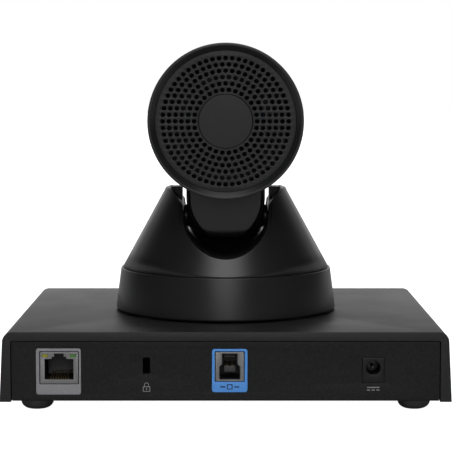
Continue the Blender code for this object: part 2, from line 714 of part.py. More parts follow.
def hub_profile(grow):
    """Half of the hub's barrel as (radius, x) points from its middle to its end, grown by a clearance."""
    bulge = HUB_BARREL_ROUND + grow
    centre = HUB_RADIUS - HUB_BARREL_ROUND
    turn = math.degrees(math.asin((HUB_HALF_LENGTH + grow) / bulge))
    return [(r, x) for x, r in arc((0.0, centre), bulge, 90.0, 90.0 - turn, 6)]


def hub_turn(grow):
    end = hub_profile(grow)
    tip = HUB_HALF_LENGTH + grow
    return [(0.0, -tip)] + [(r, -x) for r, x in reversed(end[1:])] + end + [(0.0, tip)]


def cone_radius(z):
    slope = (CONE_FOOT_RADIUS - CONE_SHOULDER_RADIUS) / (CONE_SHOULDER_Z - CONE_FOOT_Z)
    return CONE_FOOT_RADIUS - slope * (z - CONE_FOOT_Z)


def boss_room(name, grow):
    """Room for the bosses on the hub's ends, between the arms."""
    reach = HUB_BOSS_END + grow
    return cylinder_cutter(name, HUB_BOSS_RADIUS + grow, "X", (-reach, reach), (0.0, TILT_Z), 32)


def build_yoke_shell():
    profile = [(0.0, CONE_FOOT_Z), (CONE_FOOT_RADIUS, CONE_FOOT_Z), (CONE_SHOULDER_RADIUS, CONE_SHOULDER_Z),
               (27.5, 89.5), (27.0, 90.15), (YOKE_TOP_RADIUS, YOKE_TOP), (0.0, YOKE_TOP)]
    shell = add_turned("yoke_shell", profile, shell_black, "yoke", segments=LARGE_ROUND)
    through = (-60.0, 60.0)
    combine(shell, prism_cutter("arm_slot", slot_outline(0.0), "Y", through))
    combine(shell, prism_cutter("rear_relief", relief_outline(0.0), "Y", (RELIEF_START_Y, through[1])))
    combine(shell, prism_cutter("front_relief", relief_outline(0.0), "Y", (through[0], -RELIEF_START_Y)))
    inside_top = YOKE_TOP - YOKE_WALL
    side_offset = YOKE_WALL * 1.15
    inside = [(0.0, CONE_FOOT_Z - 1.0), (cone_radius(CONE_FOOT_Z - 1.0) - side_offset, CONE_FOOT_Z - 1.0),
              (cone_radius(inside_top) - side_offset, inside_top), (0.0, inside_top)]
    hollow = turned_cutter("yoke_hollow", inside, segments=LARGE_ROUND)
    combine(hollow, prism_cutter("arm_slot_wall", slot_outline(YOKE_WALL), "Y", through))
    combine(hollow, prism_cutter("relief_wall", relief_outline(YOKE_WALL), "Y", through))
    hub_place = (0.0, 0.0, TILT_Z)
    combine(hollow, turned_cutter("hub_room_wall", hub_turn(HUB_CLEARANCE + 1.6), hub_place, "X", 24))
    combine(hollow, boss_room("boss_room_wall", HUB_CLEARANCE + 1.5))
    combine(shell, hollow)
    saddle = prism_cutter("saddle", saddle_outline(), "Y", SADDLE_Y)
    combine(saddle, cylinder_cutter(
        "saddle_room", SADDLE_ROOM, "X", (-SLOT_HALF_WIDTH, SLOT_HALF_WIDTH), (0.0, TILT_Z), 48))
    combine(shell, saddle, "UNION")
    combine(shell, turned_cutter("hub_room", hub_turn(HUB_CLEARANCE), hub_place, "X", 24))
    combine(shell, boss_room("boss_room", HUB_CLEARANCE * 0.7))
    combine(shell, cylinder_cutter("axle_hole", AXLE_RADIUS + 0.9, "X", (-26.0, 26.0), (0.0, TILT_Z), 24))


def build_tilt_frame():
    """U-shaped bracket whose two uprights carry the tilt bearings."""
    low = BASE_TOP + 3.3
    frame = add_box("tilt_frame", (-UPRIGHT_X[1], UPRIGHT_X[1]), (-13.0, 13.0), (low, low + 1.2),
                    aluminium, "yoke")
    combine(frame, cylinder_cutter(
        "frame_cable_hole", TUBE_BORE, "Z", (low - 1.0, low + 2.0), (0.0, 0.0), 24))
    for side, side_name in ((1, "left"), (-1, "right")):
        upright = [(-13.0, low + 0.6), (13.0, low + 0.6), (5.9, 76.0)]
        upright += arc((0.0, TILT_Z), 5.9, 0.0, 180.0, 8) + [(-5.9, 76.0)]
        span = tuple(sorted((side * UPRIGHT_X[0], side * UPRIGHT_X[1])))
        combine(frame, prism_cutter("upright_" + side_name, upright, "X", span), "UNION")
        cut_span = tuple(sorted((side * (UPRIGHT_X[0] - 1.0), side * (UPRIGHT_X[1] + 1.0))))
        combine(frame, cylinder_cutter(
            "bearing_hole_" + side_name, 4.3, "X", cut_span, (0.0, TILT_Z), 24))
        bush = [(AXLE_RADIUS + 0.2, UPRIGHT_X[0] - 0.1), (4.0, UPRIGHT_X[0] - 0.1),
                (4.0, UPRIGHT_X[1] + 0.1), (AXLE_RADIUS + 0.2, UPRIGHT_X[1] + 0.1)]
        if side < 0:
            bush = [(r, -x) for r, x in bush]
        add_turned("tilt_bearing_" + side_name, bush, brass, "yoke", (0.0, 0.0, TILT_Z), "X", 24)
    combine(frame, cylinder_cutter(
        "motor_shaft_hole", 2.2, "X", (UPRIGHT_X[0] - 1.0, UPRIGHT_X[1] + 1.0), (0.0, TILT_MOTOR_Z), 16))
    motor = add_cylinder("tilt_motor", 9.0, "X", (6.0, 21.6), (0.0, TILT_MOTOR_Z), steel, "yoke", 32)
    combine(motor, box_cutter(
        "tilt_motor_ears", (21.0, 22.1), (-11.6, 11.6), (TILT_MOTOR_Z - 3.0, TILT_MOTOR_Z + 3.0)), "UNION")


def belt_loop(clearance):
    """Closed outline round both pulleys at a distance from them."""
    top_radius = TILT_PULLEY_RADIUS + clearance
    low_radius = MOTOR_PULLEY_RADIUS + clearance
    lean = math.degrees(math.asin((top_radius - low_radius) / (TILT_Z - TILT_MOTOR_Z)))
    over = arc((0.0, TILT_Z), top_radius, -lean, 180.0 + lean, 14)
    under = arc((0.0, TILT_MOTOR_Z), low_radius, 180.0 + lean, 360.0 - lean, 10)
    return over + under


def build_tilt_drive():
    middle = (PULLEY_X[0] + 0.3, PULLEY_X[1] - 0.3)
    belt = add_prism("tilt_belt", belt_loop(GAP + BELT_THICKNESS), "X", middle, rubber, "yoke")
    combine(belt, prism_cutter("belt_inside", belt_loop(GAP), "X", (20.0, 30.0)))
    shaft = [(0.0, 22.3), (1.4, 22.3), (1.4, PULLEY_X[0]), (MOTOR_PULLEY_RADIUS, PULLEY_X[0]),
             (MOTOR_PULLEY_RADIUS, PULLEY_X[1]), (0.0, PULLEY_X[1])]
    add_turned("tilt_motor_pulley", shaft, brass, "tilt_motor_pulley", (0.0, 0.0, TILT_MOTOR_Z), "X", 24)
    pulley = [(AXLE_RADIUS + 0.1, PULLEY_X[0]), (TILT_PULLEY_RADIUS, PULLEY_X[0]),
              (TILT_PULLEY_RADIUS, PULLEY_X[1]), (AXLE_RADIUS + 0.1, PULLEY_X[1])]
    add_turned("tilt_pulley", pulley, gear_white, "head", (0.0, 0.0, TILT_Z), "X", 32)
    for side, side_name, end in ((1, "left", PULLEY_X[1] + 0.3), (-1, "right", 24.8)):
        axle = [(0.0, 9.0), (AXLE_RADIUS, 9.0), (AXLE_RADIUS, end - 0.4), (AXLE_RADIUS - 0.4, end),
                (0.0, end)]
        if side < 0:
            axle = [(r, -x) for r, x in axle]
        add_turned("tilt_axle_" + side_name, axle, steel, "head", (0.0, 0.0, TILT_Z), "X", 24)


def smooth_path(points, steps):
    """Catmull-Rom curve through the points."""
    ends = [points[0] * 2 - points[1]] + points + [points[-1] * 2 - points[-2]]
    path = []
    for i in range(1, len(ends) - 2):
        a, b, c, d = ends[i - 1:i + 3]
        for step in range(steps):
            t = step / steps
            path.append(0.5 * ((2 * b) + (c - a) * t + (2 * a - 5 * b + 4 * c - d) * t ** 2
                               + (3 * b - a - 3 * c + d) * t ** 3))
    return path + [points[-1]]


def build_signal_cable():
    """Cable from the main board up through the turntable's bore and into the right arm."""
    route = [Vector(p) for p in (
        (0.0, 0.0, 14.6), (0.0, 0.0, 34.0), (-3.0, 0.0, 44.0), (-12.0, 0.0, 50.5), (-18.5, 0.0, 56.5),
        (-20.0, 0.0, 65.0))]
    path = smooth_path(route, 4)
    curve = bpy.data.curves.new("signal_cable", "CURVE")
    curve.dimensions = "3D"
    curve.bevel_depth = 1.6 * MM
    curve.bevel_resolution = 1
    curve.use_fill_caps = True
    spline = curve.splines.new("POLY")
    spline.points.add(len(path) - 1)
    for point, place in zip(spline.points, path):
        point.co = (*((place - Vector(BODY_ORIGINS["yoke"])) * MM), 1.0)
    curve.materials.append(plastic_black)
    cable = bpy.data.objects.new("signal_cable", curve)
    parts.objects.link(cable)
    cable.parent = empties["yoke"]


# ---------------------------------------------------------------- head

def neck_outline(grow):
    """Rear view of the neck: wide under the drum, drawn in along an arc towards the hub."""
    right = arc((grow - 4.0, 85.5), 20.3, -62.0, 0.0, 8) + [(16.3 + grow, 93.5)]
    return right + [(-x, z) for x, z in reversed(right)]


def neck_side():
    """Side view of the neck: flat faces that turn under the hub with a fillet."""
    flat = HUB_RADIUS - NECK_FILLET
    under = arc((-flat, NECK_FACE_BOTTOM), NECK_FILLET, 180.0, 270.0, 4)
    under += arc((flat, NECK_FACE_BOTTOM), NECK_FILLET, 270.0, 360.0, 4)
    return under + [(HUB_RADIUS, 94.0), (-HUB_RADIUS, 94.0)]


def build_neck():
    """Tilting barrel-shaped hub, and the neck that carries the drum."""
    place = (0.0, 0.0, TILT_Z)
    neck = add_turned("tilt_neck", hub_turn(0.0), shell_black, "head", place, "X", 24)
    core_depth = 7.0
    core_side = arc((0.0, TILT_Z), core_depth, 180.0, 360.0, 16) + [(core_depth, 94.0), (-core_depth, 94.0)]
    for name, side, grow in (("neck_column", neck_side(), 0.0), ("neck_core", core_side, 1.5)):
        column = prism_cutter(name, side, "X", (-22.0, 22.0))
        combine(column, prism_cutter(name + "_outline", neck_outline(grow), "Y", (-15.0, 15.0)), "INTERSECT")
        combine(neck, column, "UNION")
    combine(neck, cylinder_cutter(
        "hub_boss", HUB_BOSS_RADIUS, "X", (-HUB_BOSS_END, HUB_BOSS_END), (0.0, TILT_Z), 32), "UNION")
    combine(neck, cylinder_cutter(
        "drum_seat", HEAD_RADIUS + 0.1, "Y", (-30.0, 30.0), (0.0, HEAD_Z), 64))
    combine(neck, cylinder_cutter("axle_bore", AXLE_RADIUS + 0.1, "X", (-25.0, 25.0), (0.0, TILT_Z), 24))
    combine(neck, cylinder_cutter("cable_channel", 4.0, "Z", (TILT_Z, 100.0), (0.0, 0.0), 16))


def build_head_shell():
    inner = HEAD_RADIUS - HEAD_WALL
    rear = HEAD_REAR - BEZEL_LENGTH - 0.2
    front = HEAD_FRONT + 3.2
    tube = [(inner, front), (HEAD_RADIUS, front), (HEAD_RADIUS, rear), (inner, rear)]
    add_turned("head_shell", tube, shell_black, "head", (0.0, 0.0, HEAD_Z), "Y", LARGE_ROUND)
    plate = HEAD_REAR - GRILLE_RECESS
    bezel = [(inner, rear + 0.2), (HEAD_RADIUS, rear + 0.2), (HEAD_RADIUS, HEAD_REAR - 1.2),
             (HEAD_RADIUS - 0.35, HEAD_REAR - 0.35), (HEAD_RADIUS - 1.2, HEAD_REAR),
             (BEZEL_BORE + 0.15, plate), (BEZEL_BORE + 0.15, rear + 0.2)]
    add_turned("rear_bezel", bezel, shell_black, "head", (0.0, 0.0, HEAD_Z), "Y", LARGE_ROUND)
    plate_back = plate - GRILLE_THICKNESS
    grille = [(CAP_RADIUS + 0.1, plate_back), (BEZEL_BORE - 0.05, plate_back),
              (BEZEL_BORE - 0.05, plate - 0.1), (CAP_RADIUS + 0.1, plate - 0.1)]
    plate_ring = add_turned(
        "rear_grille", grille, panel_black, "head", (0.0, 0.0, HEAD_Z), "Y", LARGE_ROUND)
    combine(plate_ring, hole_cutter(plate))
    cap = [(0.0, plate_back - 0.6), (CAP_RADIUS - 0.3, plate_back - 0.6), (CAP_RADIUS - 0.2, plate_back),
           (CAP_RADIUS - 0.2, plate - 0.2), (0.0, plate - 0.2)]
    add_turned("grille_cap", cap, panel_black, "head", (0.0, 0.0, HEAD_Z), "Y", 24)
    build_grille_support(plate_back)
    bezel_front = [(inner - 0.3, front - 0.2), (HEAD_RADIUS, front - 0.2), (HEAD_RADIUS, HEAD_FRONT + 1.6),
                   (HEAD_RADIUS - 0.5, HEAD_FRONT + 0.5), (HEAD_RADIUS - 1.6, HEAD_FRONT), (30.0, HEAD_FRONT),
                   (LENS_RADIUS + 3.4, HEAD_FRONT + 5.0), (LENS_RADIUS + 3.4, HEAD_FRONT + 7.0),
                   (inner - 0.3, HEAD_FRONT + 7.0)]
    add_turned("front_bezel", bezel_front, plastic_black, "head", (0.0, 0.0, HEAD_Z), "Y", LARGE_ROUND)


def hole_cutter(plate):
    """One many-pronged cutter: rings of small holes, each ring with a few less than the next one out."""
    bm = bmesh.new()
    for ring in range(HOLE_RINGS):
        radius = OUTER_RING - RING_PITCH * ring
        count = OUTER_RING_HOLES - FEWER_HOLES_INWARD * ring
        for i in range(count):
            angle = 2 * math.pi * i / count
            place = Vector((radius * math.cos(angle), plate, HEAD_Z + radius * math.sin(angle)))
            bmesh.ops.create_cone(
                bm, cap_ends=True, segments=HOLE_SIDES, radius1=HOLE_RADIUS * MM, radius2=HOLE_RADIUS * MM,
                depth=6.0 * MM, matrix=Matrix.Translation(place * MM) @ Matrix.Rotation(math.pi / 2, 4, "X"))
    return add_cutter("grille_holes", mesh_from(bm))


def build_grille_support(plate_back):
    """Rim, hub and ribs behind the perforated plate."""
    back = plate_back - 4.0
    front = plate_back - 0.9
    rim = [(28.6, back), (30.6, back), (30.6, front), (28.6, front)]
    support = add_turned("grille_support", rim, plastic_black, "head", (0.0, 0.0, HEAD_Z), "Y", 32)
    hub = cylinder_cutter("support_hub", 9.0, "Y", (back, front), (0.0, HEAD_Z), 24)
    combine(support, hub, "UNION")
    bars = SUPPORT_RIBS // 2
    for bar in range(bars):
        mesh = box_mesh((58.4, 2.6, 1.2))
        spoke = add_cutter("support_rib_%d" % bar, mesh, (0.0, (back + front) / 2, HEAD_Z),
                           (0.0, math.pi * bar / bars, 0.0))
        combine(support, spoke, "UNION")


def build_lens():
    outer = LENS_RADIUS + 2.2
    barrel = [(LENS_RADIUS, HEAD_FRONT + 2.0), (outer, HEAD_FRONT + 2.0), (outer, -22.0), (30.8, -22.0),
              (30.8, -20.0), (outer, -20.0), (outer, 2.0), (LENS_RADIUS, 2.0)]
    add_turned("lens_barrel", barrel, plastic_black, "head", (0.0, 0.0, HEAD_Z), "Y", 32)
    add_lens("front_lens", LENS_RADIUS - 0.3, HEAD_FRONT + 8.0, 3.4, 3.6, "head")
    for name, y, body in (("zoom", ZOOM_Y, "zoom_group"), ("focus", FOCUS_Y, "focus_group")):
        cell = [(10.2, y - 2.5), (LENS_RADIUS - 0.4, y - 2.5), (LENS_RADIUS - 0.4, y + 2.5), (10.2, y + 2.5)]
        holder = add_turned(name + "_cell", cell, plastic_black, body, (0.0, 0.0, HEAD_Z), "Y", 24)
        for side in (-1, 1):
            rod = (0.0, HEAD_Z + side * GUIDE_ROD_OFFSET)
            combine(holder, cylinder_cutter(
                "%s_rod_hole_%d" % (name, side), 1.2, "Y", (y - 4.0, y + 4.0), rod, 12))
        add_lens(name + "_lens", 9.9, y, 1.8, 1.9, body)
    for side, side_name in ((1, "upper"), (-1, "lower")):
        rod = (0.0, HEAD_Z + side * GUIDE_ROD_OFFSET)
        add_cylinder("guide_rod_" + side_name, 0.9, "Y", (-36.0, 1.5), rod, steel, "head", 12)
    board = add_box("sensor_board", (-16.0, 16.0), (3.0, 4.6), (HEAD_Z - 16.0, HEAD_Z + 16.0), board_green,
                    "head")
    combine(board, box_cutter("sensor_chip", (-5.0, 5.0), (1.8, 3.4), (HEAD_Z - 4.0, HEAD_Z + 4.0)), "UNION")


def add_lens(name, radius, y, half_thickness, bulge, body):
    """Biconvex glass disc on the lens axis."""
    rim = half_thickness * 0.35
    steps = 3
    face = [(radius * i / steps, half_thickness - (half_thickness - rim) * (i / steps) ** 2)
            for i in range(steps + 1)]
    profile = [(r, y - h) for r, h in face] + [(r, y + h) for r, h in reversed(face)]
    add_turned(name, profile, lens_glass, body, (0.0, 0.0, HEAD_Z), "Y", 24)


build_cover()
build_bottom_plate()
build_feet()
build_cover_screws()
build_main_board()
build_rear_panel()
build_ethernet()
build_usb()
build_power_jack()
build_lock_bracket()
build_pan_drive()
build_skirt()
build_yoke_shell()
build_tilt_frame()
build_tilt_drive()
build_signal_cable()
build_neck()
build_head_shell()
build_lens()
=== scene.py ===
"""Looks of the pan, tilt and zoom camera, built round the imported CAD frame.

Lengths are metres; MM turns the millimetres that the details are written in. Each function
makes one piece or one family of pieces, in the place of the CAD nodes that it stands for.
"""
import json
import math

import bmesh
import bpy
from mathutils import Matrix, Vector


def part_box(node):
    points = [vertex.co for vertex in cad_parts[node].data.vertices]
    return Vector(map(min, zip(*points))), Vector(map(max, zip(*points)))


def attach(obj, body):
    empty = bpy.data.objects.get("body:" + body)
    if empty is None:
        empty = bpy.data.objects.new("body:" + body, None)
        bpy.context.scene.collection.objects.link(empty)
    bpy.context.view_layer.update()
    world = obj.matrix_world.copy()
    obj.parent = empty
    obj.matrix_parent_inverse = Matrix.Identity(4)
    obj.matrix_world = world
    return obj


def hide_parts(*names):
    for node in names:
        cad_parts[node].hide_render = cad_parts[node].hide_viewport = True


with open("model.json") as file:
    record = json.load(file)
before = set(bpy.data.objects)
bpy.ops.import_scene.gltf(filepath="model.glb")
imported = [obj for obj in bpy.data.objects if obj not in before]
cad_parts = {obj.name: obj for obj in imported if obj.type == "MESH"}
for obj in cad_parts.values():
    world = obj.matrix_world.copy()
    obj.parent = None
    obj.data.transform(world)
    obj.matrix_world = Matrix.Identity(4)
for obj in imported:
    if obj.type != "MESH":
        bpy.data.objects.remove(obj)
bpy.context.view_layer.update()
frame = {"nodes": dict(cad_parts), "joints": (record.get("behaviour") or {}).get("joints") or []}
MM = 0.001

# ---------------------------------------------------------------- places read from the frame

cover_low, cover_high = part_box("base_cover")
panel_low, panel_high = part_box("rear_panel")
skirt_low, skirt_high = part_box("yoke_skirt")
yoke_low, yoke_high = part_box("yoke_shell")
bezel_low, bezel_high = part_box("rear_bezel")
grille_low, grille_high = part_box("rear_grille")
cap_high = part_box("grille_cap")[1]
front_low, front_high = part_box("front_bezel")

joints = {joint["name"]: joint for joint in frame["joints"]}
TILT_Z = joints["tilt"]["pos_m"][2]
HEAD_Z = (bezel_low.z + bezel_high.z) / 2
HEAD_RADIUS = bezel_high.x


# ---------------------------------------------------------------- materials

# Unnamed sockets of a Mix node, for colours and for plain values
MIX_FACTOR = 0
MIX_COLOUR_A, MIX_COLOUR_B, MIX_COLOUR_OUT = 6, 7, 2
MIX_VALUE_A, MIX_VALUE_B, MIX_VALUE_OUT = 2, 3, 0
SPECKLE_COARSENESS = 0.6       # the speckle's cells per metre, as a share of the grain's
SPECKLE_RANGE = (0.35, 0.68)
DRIFT_SCALE = 45.0             # slow drift of the gloss, in cells per metre
FINE_DETAIL = 3.0


def make_material(name, colour, roughness, metallic=0.0, **sockets):
    """A Principled material; sockets holds further constant values by socket name."""
    material = bpy.data.materials.new(name)
    material.use_nodes = True
    shader = material.node_tree.nodes["Principled BSDF"]
    shader.inputs["Base Color"].default_value = (*colour, 1.0)
    shader.inputs["Roughness"].default_value = roughness
    shader.inputs["Metallic"].default_value = metallic
    for socket, value in sockets.items():
        shader.inputs[socket.replace("_", " ")].default_value = value
    return material


def add_node(tree, kind, **settings):
    node = tree.nodes.new(kind)
    for key, value in settings.items():
        if key in node.inputs:
            node.inputs[key].default_value = value
        else:
            setattr(node, key, value)
    return node


def noise(tree, scale, detail=2.0, stretch=(1.0, 1.0, 1.0)):
    """Noise in the object's own metres, scale in cells per metre."""
    coordinates = add_node(tree, "ShaderNodeTexCoord")
    mapping = add_node(tree, "ShaderNodeMapping", Scale=stretch)
    texture = add_node(tree, "ShaderNodeTexNoise", Scale=scale, Detail=detail)
    tree.links.new(coordinates.outputs["Object"], mapping.inputs["Vector"])
    tree.links.new(mapping.outputs["Vector"], texture.inputs["Vector"])
    return texture.outputs["Fac"]


def remap(tree, source, low, high, start=0.3, stop=0.7, **settings):
    """Map start..stop onto low..high."""
    node = add_node(tree, "ShaderNodeMapRange", **settings)
    node.inputs["From Min"].default_value = start
    node.inputs["From Max"].default_value = stop
    node.inputs["To Min"].default_value = low
    node.inputs["To Max"].default_value = high
    tree.links.new(source, node.inputs["Value"])
    return node.outputs["Result"]


def blend_colours(tree, factor, first, second):
    node = add_node(tree, "ShaderNodeMix", data_type="RGBA")
    node.inputs[MIX_COLOUR_A].default_value = (*first, 1.0)
    node.inputs[MIX_COLOUR_B].default_value = (*second, 1.0)
    tree.links.new(factor, node.inputs[MIX_FACTOR])
    return node.outputs[MIX_COLOUR_OUT]


def add_bump(tree, height, strength, distance):
    bump = add_node(tree, "ShaderNodeBump", Strength=strength, Distance=distance)
    tree.links.new(height, bump.inputs["Height"])
    tree.links.new(bump.outputs["Normal"], tree.nodes["Principled BSDF"].inputs["Normal"])


def textured(name, dark, light, roughness, grain, bump, metallic=0.0, stretch=(1.0, 1.0, 1.0), **sockets):
    """Surface whose colour and gloss drift slowly and whose fine grain shows as bump.

    dark and light are the ends of the colour drift, roughness is a (low, high) pair, grain is
    the grain's cells per metre and bump is its height in metres.
    """
    material = make_material(name, dark, roughness[0], metallic, **sockets)
    tree = material.node_tree
    shader = tree.nodes["Principled BSDF"]
    spots = noise(tree, grain * SPECKLE_COARSENESS, FINE_DETAIL, stretch)
    speckle = remap(tree, spots, 0.0, 1.0, *SPECKLE_RANGE)
    tree.links.new(blend_colours(tree, speckle, dark, light), shader.inputs["Base Color"])
    drift = remap(tree, noise(tree, DRIFT_SCALE), roughness[0], roughness[1])
    tree.links.new(drift, shader.inputs["Roughness"])
    add_bump(tree, noise(tree, grain, FINE_DETAIL, stretch), 1.0, bump)
    return material


powder_black = textured("powder_black", (0.013, 0.013, 0.0138), (0.018, 0.018, 0.0192), (0.42, 0.47), 2600.0,
                        1.2e-5, Specular_IOR_Level=0.43)
panel_black = textured("panel_black", (0.006, 0.006, 0.0064), (0.014, 0.014, 0.0149), (0.5, 0.56), 2200.0,
                       3e-5, Specular_IOR_Level=0.3)
shell_black = textured("shell_black", (0.013, 0.013, 0.0138), (0.017, 0.017, 0.018), (0.29, 0.33), 3800.0,
                       6e-6)
grille_black = textured("grille_black", (0.015, 0.015, 0.0158), (0.021, 0.021, 0.0222), (0.46, 0.52), 3400.0,
                        1e-5, Specular_IOR_Level=0.42)
deep_black = textured("deep_black", (0.006, 0.006, 0.0065), (0.009, 0.009, 0.0095), (0.42, 0.5), 3000.0,
                      1e-5)
gloss_black = textured("gloss_black", (0.006, 0.006, 0.0065), (0.008, 0.008, 0.0085), (0.12, 0.16), 900.0,
                       1e-6)
foot_rubber = textured("foot_rubber", (0.058, 0.058, 0.058), (0.076, 0.076, 0.076), (0.6, 0.7), 2400.0,
                       2e-5)
belt_rubber = textured("belt_rubber", (0.012, 0.012, 0.012), (0.02, 0.02, 0.02), (0.6, 0.7), 2000.0, 1e-5)
brushed_steel = textured("brushed_steel", (0.5, 0.5, 0.5), (0.62, 0.62, 0.62), (0.28, 0.4), 1800.0,
                         6e-6, 1.0, (1.0, 0.08, 1.0))
cast_aluminium = textured("cast_aluminium", (0.56, 0.57, 0.58), (0.66, 0.67, 0.68), (0.38, 0.5), 1400.0,
                          1e-5, 1.0)
turned_brass = textured("turned_brass", (0.7, 0.5, 0.2), (0.82, 0.62, 0.3), (0.24, 0.34), 1600.0,
                        4e-6, 1.0)
gold_plate = textured("gold_plate", (0.34, 0.25, 0.1), (0.42, 0.31, 0.13), (0.3, 0.38), 1600.0, 2e-6, 0.9)
solder_mask = textured("solder_mask", (0.006, 0.09, 0.04), (0.012, 0.14, 0.065), (0.25, 0.35), 700.0,
                       6e-6)
# Near-black with little reflection: painted shade, for parts seen only down in holes and slots
painted_shade_black = textured("painted_shade_black", (0.002, 0.002, 0.0021), (0.004, 0.004, 0.0042), (0.7, 0.8), 1800.0,
                       1e-5, Specular_IOR_Level=0.15)
dark_board = textured("dark_board", (0.002, 0.006, 0.004), (0.004, 0.01, 0.006), (0.5, 0.6), 700.0,
                      6e-6, Specular_IOR_Level=0.2)
pin_steel = textured("pin_steel", (0.02, 0.02, 0.02), (0.03, 0.03, 0.03), (0.12, 0.16), 1500.0, 1e-6)
acetal_white = textured("acetal_white", (0.66, 0.65, 0.61), (0.74, 0.73, 0.69), (0.4, 0.48), 1800.0,
                        6e-6)
satin_nickel = textured("satin_nickel", (0.27, 0.27, 0.27), (0.31, 0.31, 0.31), (0.42, 0.5), 2200.0,
                        3e-6, 0.75)
tongue_grey = textured("tongue_grey", (0.04, 0.04, 0.04), (0.052, 0.052, 0.052), (0.45, 0.5), 2200.0,
                       3e-6)
socket_black = textured("socket_black", (0.008, 0.008, 0.0084), (0.011, 0.011, 0.0115), (0.4, 0.46), 3000.0,
                        6e-6, Specular_IOR_Level=0.33)
label_grey = textured("label_grey", (0.29, 0.29, 0.31), (0.34, 0.34, 0.36), (0.45, 0.52), 2600.0, 6e-6)
label_blue = textured("label_blue", (0.1, 0.37, 0.97), (0.12, 0.41, 0.99), (0.34, 0.4), 2600.0, 4e-6)
print_white = textured("print_white", (0.3, 0.3, 0.31), (0.37, 0.37, 0.38), (0.5, 0.58), 2600.0, 4e-6)
print_dark = textured("print_dark", (0.012, 0.03, 0.09), (0.018, 0.04, 0.12), (0.5, 0.58), 2600.0, 4e-6)
lamp_yellow = textured("lamp_yellow", (0.38, 0.36, 0.01), (0.46, 0.43, 0.02), (0.35, 0.42), 1200.0, 2e-6)
lamp_green = textured("lamp_green", (0.06, 0.24, 0.02), (0.08, 0.3, 0.03), (0.35, 0.42), 1200.0, 2e-6)
window_tint = textured("window_tint", (0.012, 0.002, 0.004), (0.018, 0.003, 0.006), (0.05, 0.08), 500.0,
                       5e-7, Coat_Weight=1.0, Coat_Roughness=0.03)
lens_glass = make_material("lens_glass", (0.82, 0.88, 1.0), 0.01, Transmission_Weight=1.0, IOR=1.52,
                           Coat_Weight=1.0, Coat_Roughness=0.02, Coat_IOR=1.9,
                           Coat_Tint=(0.55, 0.7, 1.0, 1.0))

NODE_MATERIALS = {
    brushed_steel: ("pan_bearing", "pan_motor", "tilt_motor", "tilt_axle_left", "tilt_axle_right",
                    "guide_rod_upper", "guide_rod_lower"),
    solder_mask: ("main_board",),
    dark_board: ("sensor_board",),
    # The grille's support and the lock bracket are painted near-black as shade, so the grille's holes and
    # the lock slot read dark
    painted_shade_black: ("grille_support", "lock_bracket"),
    cast_aluminium: ("processor_heatsink", "pan_turntable", "tilt_frame"),
    turned_brass: ("tripod_insert", "pan_pinion", "tilt_bearing_left", "tilt_bearing_right",
                   "tilt_motor_pulley"),
    acetal_white: ("pan_gear", "tilt_pulley"),
    belt_rubber: ("tilt_belt",),
    deep_black: ("signal_cable", "lens_barrel", "zoom_cell", "focus_cell"),
    lens_glass: ("zoom_lens", "focus_lens", "front_lens"),
    panel_black: ("bottom_plate",),
}


def paint_cad_nodes():
    """Give every carried-over CAD node its finished material."""
    for material, names in NODE_MATERIALS.items():
        for name in names:
            mesh = frame["nodes"][name].data
            mesh.materials.clear()
            mesh.materials.append(material)


# ---------------------------------------------------------------- mesh helpers

CUT_PAST = 0.01                # how far a cutting tool runs past a face
FULL_TURN = 2 * math.pi


def place(name, data):
    """Link a new object to the scene."""
    made = bpy.data.objects.new(name, data)
    bpy.context.scene.collection.objects.link(made)
    return made


def bake(holder):
    """Mesh of an object as its modifiers leave it."""
    return bpy.data.meshes.new_from_object(holder.evaluated_get(bpy.context.evaluated_depsgraph_get()))


def round_edges(bm, edges, width, segments, clamp=False):
    bmesh.ops.bevel(bm, geom=edges, offset=width, segments=segments, affect="EDGES", profile=0.5,
                    clamp_overlap=clamp)


def finish_piece(name, mesh, material, body, stands_for=(), smooth_angle=30.0):
    """Make a piece of a mesh that is already in the row frame, and put it on its body."""
    mesh.name = name
    if not mesh.materials:
        mesh.materials.append(material)
    mesh.shade_smooth()
    mesh.set_sharp_from_angle(angle=math.radians(smooth_angle))
    piece = place(name, mesh)
    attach(piece, body)
    if stands_for:
        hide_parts(*stands_for)
    return piece


def mesh_of(bm):
    bmesh.ops.recalc_face_normals(bm, faces=bm.faces)
    mesh = bpy.data.meshes.new("mesh")
    bm.to_mesh(mesh)
    bm.free()
    return mesh


def arc(centre, radius, start, end, steps):
    """Points on an arc, its angles in degrees."""
    angles = [math.radians(start + (end - start) * i / steps) for i in range(steps + 1)]
    return [(centre[0] + radius * math.cos(a), centre[1] + radius * math.sin(a)) for a in angles]


def filleted(corners, closed=True, steps=5):
    """Outline through corners given as (u, v, radius), each turned into an arc of its radius."""
    points = []
    count = len(corners)
    for i, (u, v, radius) in enumerate(corners):
        at_end = not closed and i in (0, count - 1)
        if radius == 0 or at_end:
            points.append((u, v))
            continue
        here = Vector((u, v))
        before = Vector(corners[i - 1][:2]) - here
        after = Vector(corners[(i + 1) % count][:2]) - here
        half = before.angle(after) / 2
        reach = min(radius / math.tan(half), before.length * 0.49, after.length * 0.49)
        start = here + before.normalized() * reach
        stop = here + after.normalized() * reach
        for step in range(steps + 1):
            t = step / steps
            points.append(tuple(start * (1 - t) ** 2 + here * 2 * t * (1 - t) + stop * t ** 2))
    return points


AXIS_FRAMES = {
    "X": (Vector((0, 1, 0)), Vector((0, 0, 1)), Vector((1, 0, 0))),
    "Y": (Vector((1, 0, 0)), Vector((0, 0, 1)), Vector((0, 1, 0))),
    "Z": (Vector((1, 0, 0)), Vector((0, 1, 0)), Vector((0, 0, 1))),
}


